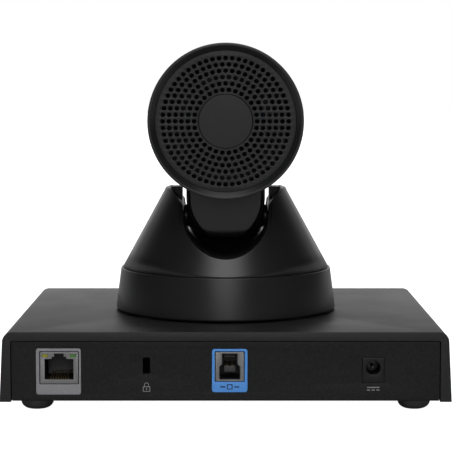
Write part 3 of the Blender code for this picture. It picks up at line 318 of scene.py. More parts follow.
def revolve(profile, axis, centre, segments=160):
    """Turn (radius, height) points round an axis; a closed ring unless both ends are on the axis."""
    first, second, along = AXIS_FRAMES[axis]
    centre = Vector(centre)
    bm = bmesh.new()
    rings = []
    for radius, height in profile:
        base = centre + along * height
        if radius < 1e-9:
            rings.append([bm.verts.new(base)])
            continue
        ring = []
        for i in range(segments):
            angle = FULL_TURN * i / segments
            ring.append(bm.verts.new(base + (first * math.cos(angle) + second * math.sin(angle)) * radius))
        rings.append(ring)
    solid = len(rings[0]) == 1 and len(rings[-1]) == 1
    pairs = list(zip(rings, rings[1:]))
    if not solid:
        pairs.append((rings[-1], rings[0]))
    for one, two in pairs:
        for i in range(segments):
            j = (i + 1) % segments
            corners = [one[i % len(one)], one[j % len(one)], two[j % len(two)], two[i % len(two)]]
            corners = list(dict.fromkeys(corners))
            if len(corners) > 2:
                bm.faces.new(corners)
    return mesh_of(bm)


def rod(radius, span):
    """Profile of a plain solid cylinder, for revolve."""
    return [(0, span[0]), (radius, span[0]), (radius, span[1]), (0, span[1])]


def plate(outer, holes, axis, span, edge=0.0, resolution=2):
    """Flat plate with holes: filled 2D curve outlines, extruded over span, its edges rounded."""
    curve = bpy.data.curves.new("plate", "CURVE")
    curve.dimensions = "2D"
    curve.fill_mode = "BOTH"
    curve.extrude = (span[1] - span[0]) / 2 - edge
    curve.bevel_depth = edge
    curve.bevel_resolution = resolution
    curve.offset = -edge
    for index, outline in enumerate([outer] + list(holes)):
        area = sum(a[0] * b[1] - b[0] * a[1] for a, b in zip(outline, outline[1:] + outline[:1]))
        if (area > 0) != (index == 0):
            outline = outline[::-1]
        spline = curve.splines.new("POLY")
        spline.points.add(len(outline) - 1)
        spline.use_cyclic_u = True
        for point, (u, v) in zip(spline.points, outline):
            point.co = (u, v, 0.0, 1.0)
    holder = place("plate", curve)
    mesh = bake(holder)
    bpy.data.objects.remove(holder)
    first, second, along = AXIS_FRAMES[axis]
    middle = along * (span[0] + span[1]) / 2
    turn = Matrix((first, second, along)).transposed().to_4x4()
    mesh.transform(Matrix.Translation(middle) @ turn)
    bm = bmesh.new()
    bm.from_mesh(mesh)
    bmesh.ops.remove_doubles(bm, verts=bm.verts, dist=0.0000005)
    return mesh_of(bm)


def block(x, y, z, edge=0.0, segments=3):
    """Box between pairs of coordinates with its edges rounded."""
    bm = bmesh.new()
    bmesh.ops.create_cube(bm, size=1.0)
    size = Vector((x[1] - x[0], y[1] - y[0], z[1] - z[0]))
    centre = Vector((x[0] + x[1], y[0] + y[1], z[0] + z[1])) / 2
    bmesh.ops.scale(bm, vec=size, verts=bm.verts)
    bmesh.ops.translate(bm, vec=centre, verts=bm.verts)
    if edge:
        round_edges(bm, bm.edges, edge, segments)
    return mesh_of(bm)


def prism(outline, axis, span):
    """Solid with a flat outline, extruded over span along an axis."""
    first, second, along = AXIS_FRAMES[axis]
    bm = bmesh.new()
    ring = [bm.verts.new(first * u + second * v + along * span[0]) for u, v in outline]
    face = bm.faces.new(ring)
    made = bmesh.ops.extrude_face_region(bm, geom=[face])
    moved = [item for item in made["geom"] if isinstance(item, bmesh.types.BMVert)]
    bmesh.ops.translate(bm, vec=along * (span[1] - span[0]), verts=moved)
    return mesh_of(bm)


def carve(mesh, tools, operation="DIFFERENCE"):
    """Cut each tool mesh out of a mesh, or join it on, and return the new mesh."""
    holder = place("carved", mesh)
    helpers = []
    for tool in tools:
        helper = place("tool", tool)
        helpers.append(helper)
        modifier = holder.modifiers.new("cut", "BOOLEAN")
        modifier.operation = operation
        modifier.solver = "EXACT"
        modifier.object = helper
    result = bake(holder)
    for helper in helpers + [holder]:
        bpy.data.objects.remove(helper)
    result.materials.clear()
    return result


def soften(mesh, width, segments=3, angle=32.0):
    """Round every edge of a mesh that is sharper than the angle."""
    bm = bmesh.new()
    bm.from_mesh(mesh)
    bmesh.ops.remove_doubles(bm, verts=bm.verts, dist=0.000001)
    limit = math.radians(angle)
    sharp = [edge for edge in bm.edges if edge.is_manifold and edge.calc_face_angle(0.0) > limit]
    round_edges(bm, sharp, width, segments, True)
    return mesh_of(bm)


def middle(node, axis):
    """Middle of a CAD node's box along axis 0, 1 or 2."""
    low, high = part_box(node)
    return (low[axis] + high[axis]) / 2


def at_corners(node_stem, piece_stem):
    """Node and piece names of the four fittings in the base's corners."""
    for end in ("front", "rear"):
        for side in ("left", "right"):
            yield "%s_%s_%s" % (node_stem, end, side), "%s_%s_%s" % (piece_stem, end, side)


# ---------------------------------------------------------------- base

COVER_WALL = 4.1 * MM
COVER_ROOF = 3.7 * MM
COVER_CORNER = 4.2 * MM
COVER_DRAFT = 1.3 * MM
FRONT_ROUND = 2.4 * MM
FRONT_WALL = 3.5 * MM
HOLLOW_ROUND = 1.0 * MM
COVER_EDGE = 0.55 * MM
YOKE_HOLE_RADIUS = 17.0 * MM
YOKE_HOLE_Z = (0.02, 0.05)
WINDOW_GAP = 0.15 * MM


def cover_outline():
    top = cover_high.x - COVER_DRAFT
    corner = arc((top - COVER_CORNER, cover_high.z - COVER_CORNER), COVER_CORNER, 0.0, 90.0, 12)
    mirrored = [(-x, z) for x, z in reversed(corner)]
    return [(-cover_high.x, cover_low.z), (cover_high.x, cover_low.z)] + corner + mirrored


def make_cover():
    """Deep lid with drafted sides, open below and at the back, with softly rounded front edges."""
    bm = bmesh.new()
    bm.from_mesh(prism(cover_outline(), "Y", (cover_low.y, cover_high.y)))
    front = [edge for edge in bm.edges
             if all(abs(vert.co.y - cover_low.y) < 1e-6 for vert in edge.verts)
             and any(vert.co.z > cover_low.z + 1e-6 for vert in edge.verts)]
    round_edges(bm, front, FRONT_ROUND, 6)
    body = mesh_of(bm)
    inside_x = cover_high.x - COVER_DRAFT / 2 - COVER_WALL
    inside_top = cover_high.z - COVER_ROOF
    hollow = filleted([
        (-inside_x, -CUT_PAST, 0), (inside_x, -CUT_PAST, 0), (inside_x, inside_top, HOLLOW_ROUND),
        (-inside_x, inside_top, HOLLOW_ROUND)])
    window_x, window_z = grown_box("remote_window", WINDOW_GAP)
    tools = [
        prism(hollow, "Y", (cover_low.y + FRONT_WALL, cover_high.y + CUT_PAST)),
        revolve(rod(YOKE_HOLE_RADIUS, YOKE_HOLE_Z), "Z", (0, 0, 0), 64),
        block(window_x, (cover_low.y - CUT_PAST, cover_low.y + CUT_PAST), window_z),
    ]
    mesh = soften(carve(body, tools), COVER_EDGE)
    finish_piece("base_lid", mesh, powder_black, "base", ("base_cover",), 40.0)


ETHERNET_X = middle("ethernet_jack_shield", 0)
USB_X = middle("usb_socket_shell", 0)
POWER_X = middle("power_jack_body", 0)
LOCK_X = middle("lock_bracket", 0)
LOCK_Z = (16.8 * MM, 23.7 * MM)
LOCK_WIDTH = 3.0 * MM
PANEL_GAP = 0.12 * MM          # seam round each socket in the panel
PANEL_EDGE = 0.12 * MM
SOCKET_ROUND = 0.4 * MM
WELL_MARGIN = 0.6 * MM
WELL_WALL = 0.4 * MM
LABEL_OUTLINE = 0.3 * MM       # dark gap left between a label and its socket
LABEL_THICKNESS = 0.6 * MM
LABEL_EDGE = 0.18 * MM


def rectangle(x, z, radius, steps=4):
    return filleted([(x[0], z[0], radius), (x[1], z[0], radius), (x[1], z[1], radius),
                     (x[0], z[1], radius)], steps=steps)


def grown_box(node, amount):
    """A node's X and Z spans, grown by an amount."""
    low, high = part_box(node)
    return (low.x - amount, high.x + amount), (low.z - amount, high.z + amount)


def node_block(node, radius, grow=0.0):
    """Block in the place of a CAD node, its four long edges rounded, grown in X and Z."""
    low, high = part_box(node)
    return prism(rectangle(*grown_box(node, grow), radius), "Y", (low.y, high.y))


def make_rear_panel():
    outline = rectangle((panel_low.x, panel_high.x), (panel_low.z, panel_high.z), 0.8 * MM)
    holes = [
        rectangle(*grown_box("ethernet_label", PANEL_GAP), 1.3 * MM),
        rectangle(*grown_box("usb_label", PANEL_GAP), 1.3 * MM),
        rectangle(*grown_box("power_jack_body", PANEL_GAP), SOCKET_ROUND),
        rectangle((LOCK_X - LOCK_WIDTH / 2, LOCK_X + LOCK_WIDTH / 2), LOCK_Z, 0.5 * MM),
    ]
    mesh = plate(outline, holes, "Y", (panel_low.y, panel_high.y), PANEL_EDGE)
    finish_piece("socket_panel", mesh, panel_black, "base", ("rear_panel",))


def make_lock_well():
    """Pocket behind the lock slot, painted near-black as the shade inside the slot."""
    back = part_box("lock_bracket")[0].y
    x = (LOCK_X - LOCK_WIDTH / 2 - WELL_MARGIN, LOCK_X + LOCK_WIDTH / 2 + WELL_MARGIN)
    z = (LOCK_Z[0] - WELL_MARGIN, LOCK_Z[1] + WELL_MARGIN)
    mesh = carve(block(x, (back - 9.0 * MM, back - 0.2 * MM), z),
                 [block((x[0] + WELL_WALL, x[1] - WELL_WALL), (back - 8.6 * MM, back + 1.0 * MM),
                        (z[0] + WELL_WALL, z[1] - WELL_WALL))])
    finish_piece("lock_well", mesh, painted_shade_black, "base")


def make_label(name, node, material, hole_node):
    x, z = grown_box(node, 0.0)
    low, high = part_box(node)
    hole = rectangle(*grown_box(hole_node, LABEL_OUTLINE), LABEL_OUTLINE)
    mesh = plate(rectangle(x, z, 1.2 * MM), [hole], "Y", (low.y - LABEL_THICKNESS, high.y), LABEL_EDGE, 3)
    finish_piece(name, mesh, material, "base", (node,))


SHIELD_WALL = 0.4 * MM
LAMP_SEAM = 0.08 * MM
LAMP_POCKET_BACK = 68.8 * MM
SHIELD_NOTCH_TOP = 25.4        # of the plug's notch, in millimetres
INSERT_NOTCH_TOP = 24.9
CAVITY_BACK = 58.0 * MM
WIRES = 8
WIRE_PITCH = 1.02 * MM
WIRE_HALF_WIDTH = 0.16 * MM
WIRE_HALF_THICKNESS = 0.12     # in millimetres, as the wire's path


def plug_outline(notch_top):
    """Mouth of the network socket with the stepped notch for the plug's latch."""
    right = [(6.0, 14.5), (6.0, 23.1), (3.0, 23.1), (3.0, 24.0), (2.0, 24.0), (2.0, notch_top)]
    points = [(ETHERNET_X + x * MM, z * MM) for x, z in right]
    return points + [(ETHERNET_X - x * MM, z * MM) for x, z in reversed(right)]


def make_ethernet_socket():
    low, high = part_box("ethernet_jack_shield")
    inner = rectangle(*grown_box("ethernet_jack_shield", -SHIELD_WALL), 0.3 * MM)
    tools = [prism(inner, "Y", (low.y + SHIELD_WALL, high.y - SHIELD_WALL)),
             prism(plug_outline(SHIELD_NOTCH_TOP), "Y", (high.y - 0.001, high.y + 0.001))]
    pockets = []
    for node in ("ethernet_led_yellow", "ethernet_led_green"):
        pocket_x, pocket_z = grown_box(node, LAMP_SEAM)
        span = (LAMP_POCKET_BACK, high.y + CUT_PAST)
        tools.append(block(pocket_x, span, pocket_z))
        pockets.append(block(pocket_x, span, pocket_z))
    shell = carve(node_block("ethernet_jack_shield", SOCKET_ROUND), tools)
    finish_piece("ethernet_shield", soften(shell, 0.09 * MM, 2), satin_nickel, "base",
                 ("ethernet_jack_shield",))
    mouth_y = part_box("ethernet_jack_insert")[1].y
    cavity = prism(plug_outline(INSERT_NOTCH_TOP), "Y", (CAVITY_BACK, mouth_y + CUT_PAST))
    body = carve(node_block("ethernet_jack_insert", 0.3 * MM, 0.1 * MM), [cavity] + pockets)
    finish_piece("ethernet_insert", soften(body, 0.12 * MM, 2), deep_black, "base",
                 ("ethernet_jack_insert",))
    for node, material, slot in (("ethernet_led_yellow", lamp_yellow, "lamp_yellow"),
                                 ("ethernet_led_green", lamp_green, "lamp_green")):
        low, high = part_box(node)
        lamp = block((low.x, high.x), (low.y, high.y), (low.z, high.z), 0.2 * MM)
        finish_piece(node.replace("ethernet", "link"), lamp, material, "base", (node,))
    for wire in range(WIRES):
        make_contact_wire(ETHERNET_X + (wire - (WIRES - 1) / 2) * WIRE_PITCH, wire)


def make_contact_wire(x, index):
    """One sprung contact: a flat wire that rises gently from the mouth towards the back."""
    path = filleted([(58.4, 16.1, 0), (69.9, 15.0, 0.4), (70.8, 14.7, 0)], False, 4)
    over = [(y * MM, (z + WIRE_HALF_THICKNESS) * MM) for y, z in path]
    under = [(y * MM, (z - WIRE_HALF_THICKNESS) * MM) for y, z in reversed(path)]
    mesh = prism(over + under, "X", (x - WIRE_HALF_WIDTH, x + WIRE_HALF_WIDTH))
    stands_for = ("ethernet_contacts",) if index == 0 else ()
    finish_piece("contact_wire_%d" % (index + 1), mesh, gold_plate, "base", stands_for)


USB_LINER_BACK = 2.2 * MM
TONGUE_HALF_WIDTH = 2.4 * MM
TONGUE_Z = (17.5 * MM, 20.0 * MM)
TONGUE_CONTACT_X = 1.15 * MM
TONGUE_CONTACT_HALF = 0.42 * MM
COMB_HALF_WIDTH = 2.3 * MM
COMB_Z = (23.7 * MM, 24.6 * MM)
COMB_PIN_Z = (23.6 * MM, 23.8 * MM)
COMB_PINS = 5
COMB_PITCH = 0.86 * MM
PIN_EDGE = 0.04 * MM


def usb_mouth(shrink):
    """Mouth of the type B socket: wide below, with the narrower part for the extra contacts above."""
    right = [(4.4 - shrink, 14.4 + shrink, 0.3), (4.4 - shrink, 19.9, 0.3), (3.3 - shrink, 20.9, 0.3),
             (3.3 - shrink, 25.4 - shrink, 0.3)]
    corners = [(USB_X + x * MM, z * MM, r * MM) for x, z, r in right]
    corners += [(USB_X - x * MM, z * MM, r * MM) for x, z, r in reversed(right)]
    return filleted(corners, steps=3)


def make_usb_socket():
    low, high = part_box("usb_socket_shell")
    shell = carve(node_block("usb_socket_shell", SOCKET_ROUND),
                  [prism(usb_mouth(0.0), "Y", (low.y + SHIELD_WALL, high.y + CUT_PAST))])
    finish_piece("usb_shell", soften(shell, 0.1 * MM, 2), satin_nickel, "base",
                 ("usb_socket_shell",))
    liner = carve(prism(usb_mouth(0.02), "Y", (low.y + 0.5 * MM, high.y - 0.5 * MM)),
                  [prism(usb_mouth(0.32), "Y", (low.y + USB_LINER_BACK, high.y + CUT_PAST))])
    finish_piece("usb_liner", liner, deep_black, "base")
    low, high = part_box("usb_socket_tongue")
    tongue = block((USB_X - TONGUE_HALF_WIDTH, USB_X + TONGUE_HALF_WIDTH), (low.y + 1.0 * MM, high.y),
                   TONGUE_Z, 0.25 * MM)
    finish_piece("usb_tongue", tongue, tongue_grey, "base", ("usb_socket_tongue",))
    for side in (-1, 1):
        x = USB_X + side * TONGUE_CONTACT_X
        strip = block((x - TONGUE_CONTACT_HALF, x + TONGUE_CONTACT_HALF),
                      (low.y + 2.0 * MM, high.y - 0.6 * MM),
                      (TONGUE_Z[1] - 0.02 * MM, TONGUE_Z[1] + 0.12 * MM), PIN_EDGE, 1)
        finish_piece("usb_contact_%d" % (side + 2), strip, gold_plate, "base")
    comb = block((USB_X - COMB_HALF_WIDTH, USB_X + COMB_HALF_WIDTH), (low.y + 2.0 * MM, high.y - 1.4 * MM),
                 COMB_Z, 0.15 * MM)
    finish_piece("usb_comb", comb, deep_black, "base")
    for index in range(COMB_PINS):
        x = USB_X + (index - COMB_PINS // 2) * COMB_PITCH
        pin = block((x - 0.2 * MM, x + 0.2 * MM), (low.y + 3.0 * MM, high.y - 1.2 * MM), COMB_PIN_Z,
                    PIN_EDGE, 1)
        finish_piece("usb_comb_pin_%d" % (index + 1), pin, satin_nickel, "base")


BORE_RADIUS = 2.9 * MM
BORE_MOUTH_RADIUS = 3.2 * MM
BORE_BACK = 62.0 * MM
PIN_RADIUS = 0.8               # millimetres, as PIN_TIP_Y, where its round tip starts
PIN_TIP_Y = 70.3


def make_power_socket():
    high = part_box("power_jack_body")[1]
    hole_z = middle("power_jack_pin", 2)
    bore = [(0, BORE_BACK), (BORE_RADIUS, BORE_BACK), (BORE_RADIUS, high.y - 0.25 * MM),
            (BORE_MOUTH_RADIUS, high.y + 0.05 * MM), (BORE_MOUTH_RADIUS, high.y + CUT_PAST),
            (0, high.y + CUT_PAST)]
    body = carve(node_block("power_jack_body", 0.35 * MM),
                 [revolve(bore, "Y", (POWER_X, 0, hole_z), 64)])
    finish_piece("power_socket", soften(body, 0.12 * MM, 2), socket_black, "base",
                 ("power_jack_body",))
    turns = [math.radians(angle) for angle in range(0, 90, 15)]
    tip = [(PIN_RADIUS * math.cos(t), PIN_TIP_Y + PIN_RADIUS * math.sin(t)) for t in turns]
    pin = [(0, 62.2), (1.9, 62.2), (1.9, 62.8), (PIN_RADIUS, 62.8)] + tip + [(0, 71.1)]
    mesh = revolve([(r * MM, y * MM) for r, y in pin], "Y", (POWER_X, 0, hole_z), 32)
    finish_piece("power_pin", mesh, pin_steel, "base", ("power_jack_pin",))


FOOT_FLAT = 3.0 * MM
FOOT_RISE = 3.4 * MM


def make_feet():
    """Four domed rubber bumpers."""
    for node, piece in at_corners("foot", "bumper"):
        low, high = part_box(node)
        radius = (high.x - low.x) / 2
        profile = [(0, 0), (FOOT_FLAT, 0)]
        profile += [(FOOT_FLAT + (radius - FOOT_FLAT) * math.sin(t), FOOT_RISE * (1 - math.cos(t)))
                    for t in (math.radians(a) for a in range(9, 91, 9))]
        profile += [(radius, high.z + 0.25 * MM), (0, high.z + 0.25 * MM)]
        mesh = revolve(profile, "Z", (middle(node, 0), middle(node, 1), 0), 64)
        finish_piece(piece, mesh, foot_rubber, "base", (node,))


def make_remote_window():
    low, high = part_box("remote_window")
    mesh = block((low.x, high.x), (low.y, high.y), (low.z, high.z), 0.4 * MM, 4)
    finish_piece("infrared_window", mesh, window_tint, "base", ("remote_window",))


# Half profile of a cover screw from its head up to its point, in millimetres
SCREW_PROFILE = ((0, 0), (1.2, 0.05), (2.1, 0.3), (2.6, 0.8), (2.7, 1.15), (1.35, 1.15), (1.35, 10.0),
                 (0.9, 10.7), (0, 10.7))
CROSS_LENGTH = 1.5 * MM        # half the length and width of each arm of the recess
CROSS_WIDTH = 0.35 * MM


def make_cover_screws():
    """Pan-head screws with a cross recess."""
    for node, piece in at_corners("cover_screw", "screw"):
        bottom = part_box(node)[0].z
        centre = (middle(node, 0), middle(node, 1), bottom)
        screw = revolve([(r * MM, z * MM) for r, z in SCREW_PROFILE], "Z", centre, 48)
        arms = [block((centre[0] - x, centre[0] + x), (centre[1] - y, centre[1] + y),
                      (bottom - 0.5 * MM, bottom + 0.75 * MM))
                for x, y in ((CROSS_LENGTH, CROSS_WIDTH), (CROSS_WIDTH, CROSS_LENGTH))]
        finish_piece(piece, carve(screw, arms), brushed_steel, "base", (node,))


# ---------------------------------------------------------------- printed marks

MARK_BACK = 0.04 * MM
MARK_PROUD = 0.03 * MM


def make_mark(name, y, outline, holes=(), material=print_white):
    """Thin printed figure on the face at y."""
    mesh = plate(outline, holes, "Y", (y - MARK_BACK, y + MARK_PROUD))
    finish_piece(name, mesh, material, "base")


def centred(x, z, half_width, half_height, radius):
    """Rectangle about a point, its corners rounded."""
    return rectangle((x - half_width, x + half_width), (z - half_height, z + half_height), radius)


def ring_outline(centre, radius, steps=28):
    return arc(centre, radius, 0.0, 360.0, steps)[:-1]


def make_marks():
    """Plain pictograms: linked boxes, a padlock, a square between bars, the direct-current sign."""
    label_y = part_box("ethernet_label")[1].y
    make_network_mark(label_y)
    make_padlock_mark(panel_high.y)
    make_usb_mark(label_y)
    make_current_mark(panel_high.y)


NETWORK_MARK_Z = 10.4 * MM
NETWORK_BOX = 0.75 * MM
NETWORK_BOXES = ((0.0, 1.1), (-2.2, -0.9), (0.0, -0.9), (2.2, -0.9))
NETWORK_REACH = 2.2 * MM
NETWORK_BAR = 0.14 * MM


def make_network_mark(y):
    """One small box above three others, with a bar between the two rows."""
    for index, (dx, dz) in enumerate(NETWORK_BOXES):
        box = centred(ETHERNET_X + dx * MM, NETWORK_MARK_Z + dz * MM, NETWORK_BOX, NETWORK_BOX * 0.7,
                      0.15 * MM)
        make_mark("network_box_%d" % index, y, box)
    bar = centred(ETHERNET_X, NETWORK_MARK_Z + 0.1 * MM, NETWORK_REACH, NETWORK_BAR, 0.1 * MM)
    make_mark("network_bar", y, bar)


PADLOCK_Z = 10.85 * MM
SHACKLE_OUTER = 0.98 * MM
SHACKLE_INNER = 0.74 * MM


def make_padlock_mark(y):
    """Line drawing of a padlock: body with a keyhole, and an open arch for the shackle."""
    z = PADLOCK_Z
    x = LOCK_X
    body = rectangle((x - 1.5 * MM, x + 1.5 * MM), (z - 1.5 * MM, z + 0.7 * MM), 0.25 * MM)
    inside = rectangle((x - 1.24 * MM, x + 1.24 * MM), (z - 1.24 * MM, z + 0.44 * MM), 0.12 * MM)
    make_mark("padlock_body", y, body, [inside])
    keyhole = rectangle((x - 0.18 * MM, x + 0.18 * MM), (z - 0.8 * MM, z + 0.05 * MM), 0.15 * MM)
    make_mark("padlock_keyhole", y, keyhole)
    centre = (x, z + 1.35 * MM)
    foot = z + 0.65 * MM
    shackle = [(x + SHACKLE_OUTER, foot)] + arc(centre, SHACKLE_OUTER, 0.0, 180.0, 14)
    shackle += [(x - SHACKLE_OUTER, foot), (x - SHACKLE_INNER, foot)]
    shackle += arc(centre, SHACKLE_INNER, 180.0, 0.0, 14) + [(x + SHACKLE_INNER, foot)]
    make_mark("padlock_shackle", y, shackle)


USB_MARK_Z = 11.4 * MM


def make_usb_mark(y):
    """Outline of a square plug between two bars."""
    outer = centred(USB_X, USB_MARK_Z, 1.2 * MM, 1.1 * MM, 0.3 * MM)
    inner = centred(USB_X, USB_MARK_Z, 0.8 * MM, 0.7 * MM, 0.15 * MM)
    make_mark("usb_plug_mark", y, outer, [inner], print_dark)
    for side in (-1, 1):
        bar = centred(USB_X + side * 2.9 * MM, USB_MARK_Z, 1.1 * MM, 0.28 * MM, 0.2 * MM)
        make_mark("usb_bar_%d" % (side + 1), y, bar, [], print_dark)


CURRENT_MARK_Z = 10.6 * MM
CURRENT_RISE = 0.55 * MM
CURRENT_HALF_THICKNESS = 0.2 * MM
CURRENT_ROUND = 0.08 * MM


def make_current_mark(y):
    """Direct-current sign: a long bar over three short ones."""
    bar = centred(POWER_X, CURRENT_MARK_Z + CURRENT_RISE, 2.6 * MM, CURRENT_HALF_THICKNESS, CURRENT_ROUND)
    make_mark("current_bar", y, bar)
    for index in (-1, 0, 1):
        dash = centred(POWER_X + index * 1.95 * MM, CURRENT_MARK_Z - CURRENT_RISE, 0.65 * MM,
                       CURRENT_HALF_THICKNESS, CURRENT_ROUND)
        make_mark("current_dash_%d" % (index + 1), y, dash)


# ---------------------------------------------------------------- yoke

def make_skirt():
    bottom = skirt_low.z
    top = skirt_high.z
    wide = skirt_high.x
    narrow = wide - 2.4 * MM
    corners = [
        (wide - 2.6 * MM, bottom, 0.3 * MM), (wide + 0.05 * MM, bottom, 0.9 * MM), (narrow, top, 0.55 * MM),
        (42.6 * MM, top, 0), (42.6 * MM, top - 1.8 * MM, 0), (narrow - 2.4 * MM, top - 1.8 * MM, 0)]
    mesh = revolve(filleted(corners, steps=6), "Z", (0, 0, 0), 256)
    finish_piece("skirt_ring", mesh, shell_black, "yoke", ("yoke_skirt",), 40.0)


CONE_FOOT = (46.8 * MM, yoke_low.z)
CONE_SHOULDER = (28.0 * MM, 88.35 * MM)
CONE_TOP = (26.0 * MM, yoke_high.z)
SLOT_RADIUS = 19.2 * MM
SLOT_CENTRE = 80.5 * MM
SLOT_HALF = 19.6 * MM
SLOT_WALL_Z = 83.2 * MM
RELIEF_FOOT = 84.0 * MM
RELIEF_HALF = 24.7 * MM
RELIEF_START = 5.0 * MM
SADDLE_Y = (-13.0 * MM, -7.0 * MM)
SADDLE_ROOM = 13.6 * MM
NECK_FACE_BOTTOM = 71.2 * MM
NECK_FILLET = 4.0 * MM
HUB_RADIUS = 11.2 * MM
HUB_HALF = 18.7 * MM
HUB_BARREL = 26.5 * MM
BOSS_RADIUS = 4.9 * MM
BOSS_END = 19.1 * MM
HUB_GAP = 0.7 * MM
HUB_ROOM_START = 6.0 * MM      # the hub's room is cut only where the slot is wider than this
ARM_STEPS = 18
YOKE_EDGE = 0.25 * MM
YOKE_WALL = 1.2 * MM
NEAR = 1e-9                    # tolerance when two heights are compared


def cone_profile():
    """Outer line of the cone from its foot to its rounded top edge, as (radius, z) points."""
    rounding = filleted([(*CONE_SHOULDER, 0), (27.05 * MM, yoke_high.z, 2.6 * MM), (*CONE_TOP, 0)], False, 8)
    return [CONE_FOOT] + rounding


def cone_radius(z):
    points = cone_profile()
    for (r0, z0), (r1, z1) in zip(points, points[1:]):
        if z <= z1 + NEAR and z1 > z0:
            return r0 + (r1 - r0) * (z - z0) / (z1 - z0)
    return CONE_TOP[0]


def slot_outline():
    """Right half of the slot's outline, from its lowest point to the top of the arm, as (x, z)."""
    bowl = arc((0.0, SLOT_CENTRE), SLOT_RADIUS, 270.0, 360.0, 34)
    rise = filleted([(SLOT_RADIUS, SLOT_CENTRE, 0), (SLOT_HALF, SLOT_WALL_Z, 1.5 * MM),
                     (SLOT_HALF, RELIEF_FOOT, 0)], False, 3)[1:]
    run = RELIEF_HALF - SLOT_HALF
    climb = yoke_high.z - RELIEF_FOOT
    steps = [(SLOT_HALF + run * i / 12, RELIEF_FOOT + climb * i / 12) for i in range(1, 13)]
    return bowl + rise + steps


def hub_half_length(radius):
    """How far the room for the barrel-shaped hub reaches along X at a distance from its axis."""
    if radius > HUB_RADIUS + HUB_GAP:
        return None
    if radius < BOSS_RADIUS + HUB_GAP * 0.7:
        return BOSS_END + HUB_GAP * 0.7
    centre = HUB_RADIUS - HUB_BARREL
    reach = HUB_BARREL + HUB_GAP
    return math.sqrt(max(0.0, reach ** 2 - (radius - centre) ** 2))


def column_heights(top):
    """Heights of one column of the cone, close together below the slot's edge."""
    near = [0.0, 0.5, 1.0, 1.5, 2.0, 2.6, 3.4, 4.6, 6.2]
    ladder = [top - d * MM for d in near]
    rest = ladder[-1] - CONE_FOOT[1]
    return ladder + [ladder[-1] - rest * i / 4 for i in range(1, 5)]


def slot_depths(z, depth):
    """Y of one row of points across the slot; above the relief's foot the rows keep to its edges."""
    half = 22
    front = [depth * math.cos(math.pi * i / (2 * half)) for i in range(half)]
    if z > RELIEF_FOOT + NEAR:
        flare = RELIEF_START + 0.35 * MM
        outer = [depth + (flare - depth) * i / 10 for i in range(11)]
        inner = [RELIEF_START * (1 - i / 11) for i in range(11)]
        front = outer + inner
    return front + [0.0] + [-y for y in reversed(front)]


def make_yoke_shell():
    """Cone with a rounded slot through it, built as one grid so that its edges stay even."""
    bm = bmesh.new()
    half = slot_outline()
    slot = [(-x, z) for x, z in reversed(half)] + half[1:]
    walls = []
    for x, z in slot:
        depth = math.sqrt(max(0.0, cone_radius(z) ** 2 - x * x))
        line = []
        for y in slot_depths(z, depth):
            shifted = x
            if z > RELIEF_FOOT + NEAR and abs(y) < RELIEF_START + NEAR:
                shifted = math.copysign(SLOT_HALF, x)
            wide = hub_half_length(math.hypot(y, z - TILT_Z))
            if wide and abs(x) > HUB_ROOM_START and abs(shifted) < wide:
                shifted = math.copysign(wide, x)
            line.append(bm.verts.new((shifted, y, z)))
        walls.append(line)
    for one, two in zip(walls, walls[1:]):
        for i in range(len(one) - 1):
            bm.faces.new((one[i], one[i + 1], two[i + 1], two[i]))
    sides = {}
    for end in (0, -1):
        sides[end] = [cone_column(bm, line[end], z) for (x, z), line in zip(slot, walls)]
        join_columns(bm, sides[end])
    for side in (0, -1):
        start = sides[0][side]
        stop = sides[-1][side]
        edge = start[0].co
        turn_start = math.atan2(edge.y, edge.x)
        turn_stop = math.atan2(stop[0].co.y, stop[0].co.x)
        if side == 0:
            turn_stop += FULL_TURN
        columns = [start]
        for i in range(1, ARM_STEPS):
            turn = turn_start + (turn_stop - turn_start) * i / ARM_STEPS
            top = bm.verts.new((CONE_TOP[0] * math.cos(turn), CONE_TOP[0] * math.sin(turn), CONE_TOP[1]))
            columns.append(cone_column(bm, top, CONE_TOP[1]))
        columns.append(stop)
        join_columns(bm, columns)
        bm.faces.new([column[0] for column in columns] + walls[side][::-1][1:-1])
    bmesh.ops.remove_doubles(bm, verts=bm.verts, dist=1e-7)
    bmesh.ops.recalc_face_normals(bm, faces=bm.faces)
    edges = [e for e in bm.edges if e.is_manifold and e.calc_face_angle(0.0) > math.radians(28)]
    round_edges(bm, edges, YOKE_EDGE, 3, True)
    mesh = bpy.data.meshes.new("yoke")
    bm.to_mesh(mesh)
    bm.free()
    piece = finish_piece("yoke_cone", mesh, shell_black, "yoke", ("yoke_shell",), 40.0)
    solidify = piece.modifiers.new("wall", "SOLIDIFY")
    solidify.thickness = YOKE_WALL
    solidify.offset = -1.0


def make_saddle():
    """Rib that closes the slot below the hub, hollowed for the neck's swing, painted near-black as the shade
    under the hub.
    """
    floor = arc((0.0, SLOT_CENTRE), SLOT_RADIUS + 0.6 * MM, 210.0, 330.0, 28)
    swing = rod(SADDLE_ROOM, (-SLOT_HALF, SLOT_HALF))
    mesh = carve(prism(floor, "Y", SADDLE_Y), [revolve(swing, "X", (0, 0, TILT_Z), 96)])
    finish_piece("slot_saddle", soften(mesh, 0.2 * MM, 2), painted_shade_black, "yoke")


def cone_column(bm, top_vert, top_z):
    """Vertices from a point on the slot's edge straight down the cone."""
    angle = math.atan2(top_vert.co.y, top_vert.co.x)
    column = [top_vert]
    for z in column_heights(top_z)[1:]:
        radius = cone_radius(z)
        column.append(bm.verts.new((radius * math.cos(angle), radius * math.sin(angle), z)))
    return column


def join_columns(bm, columns):
    for one, two in zip(columns, columns[1:]):
        for i in range(len(one) - 1):
            bm.faces.new((one[i], one[i + 1], two[i + 1], two[i]))


# ---------------------------------------------------------------- neck

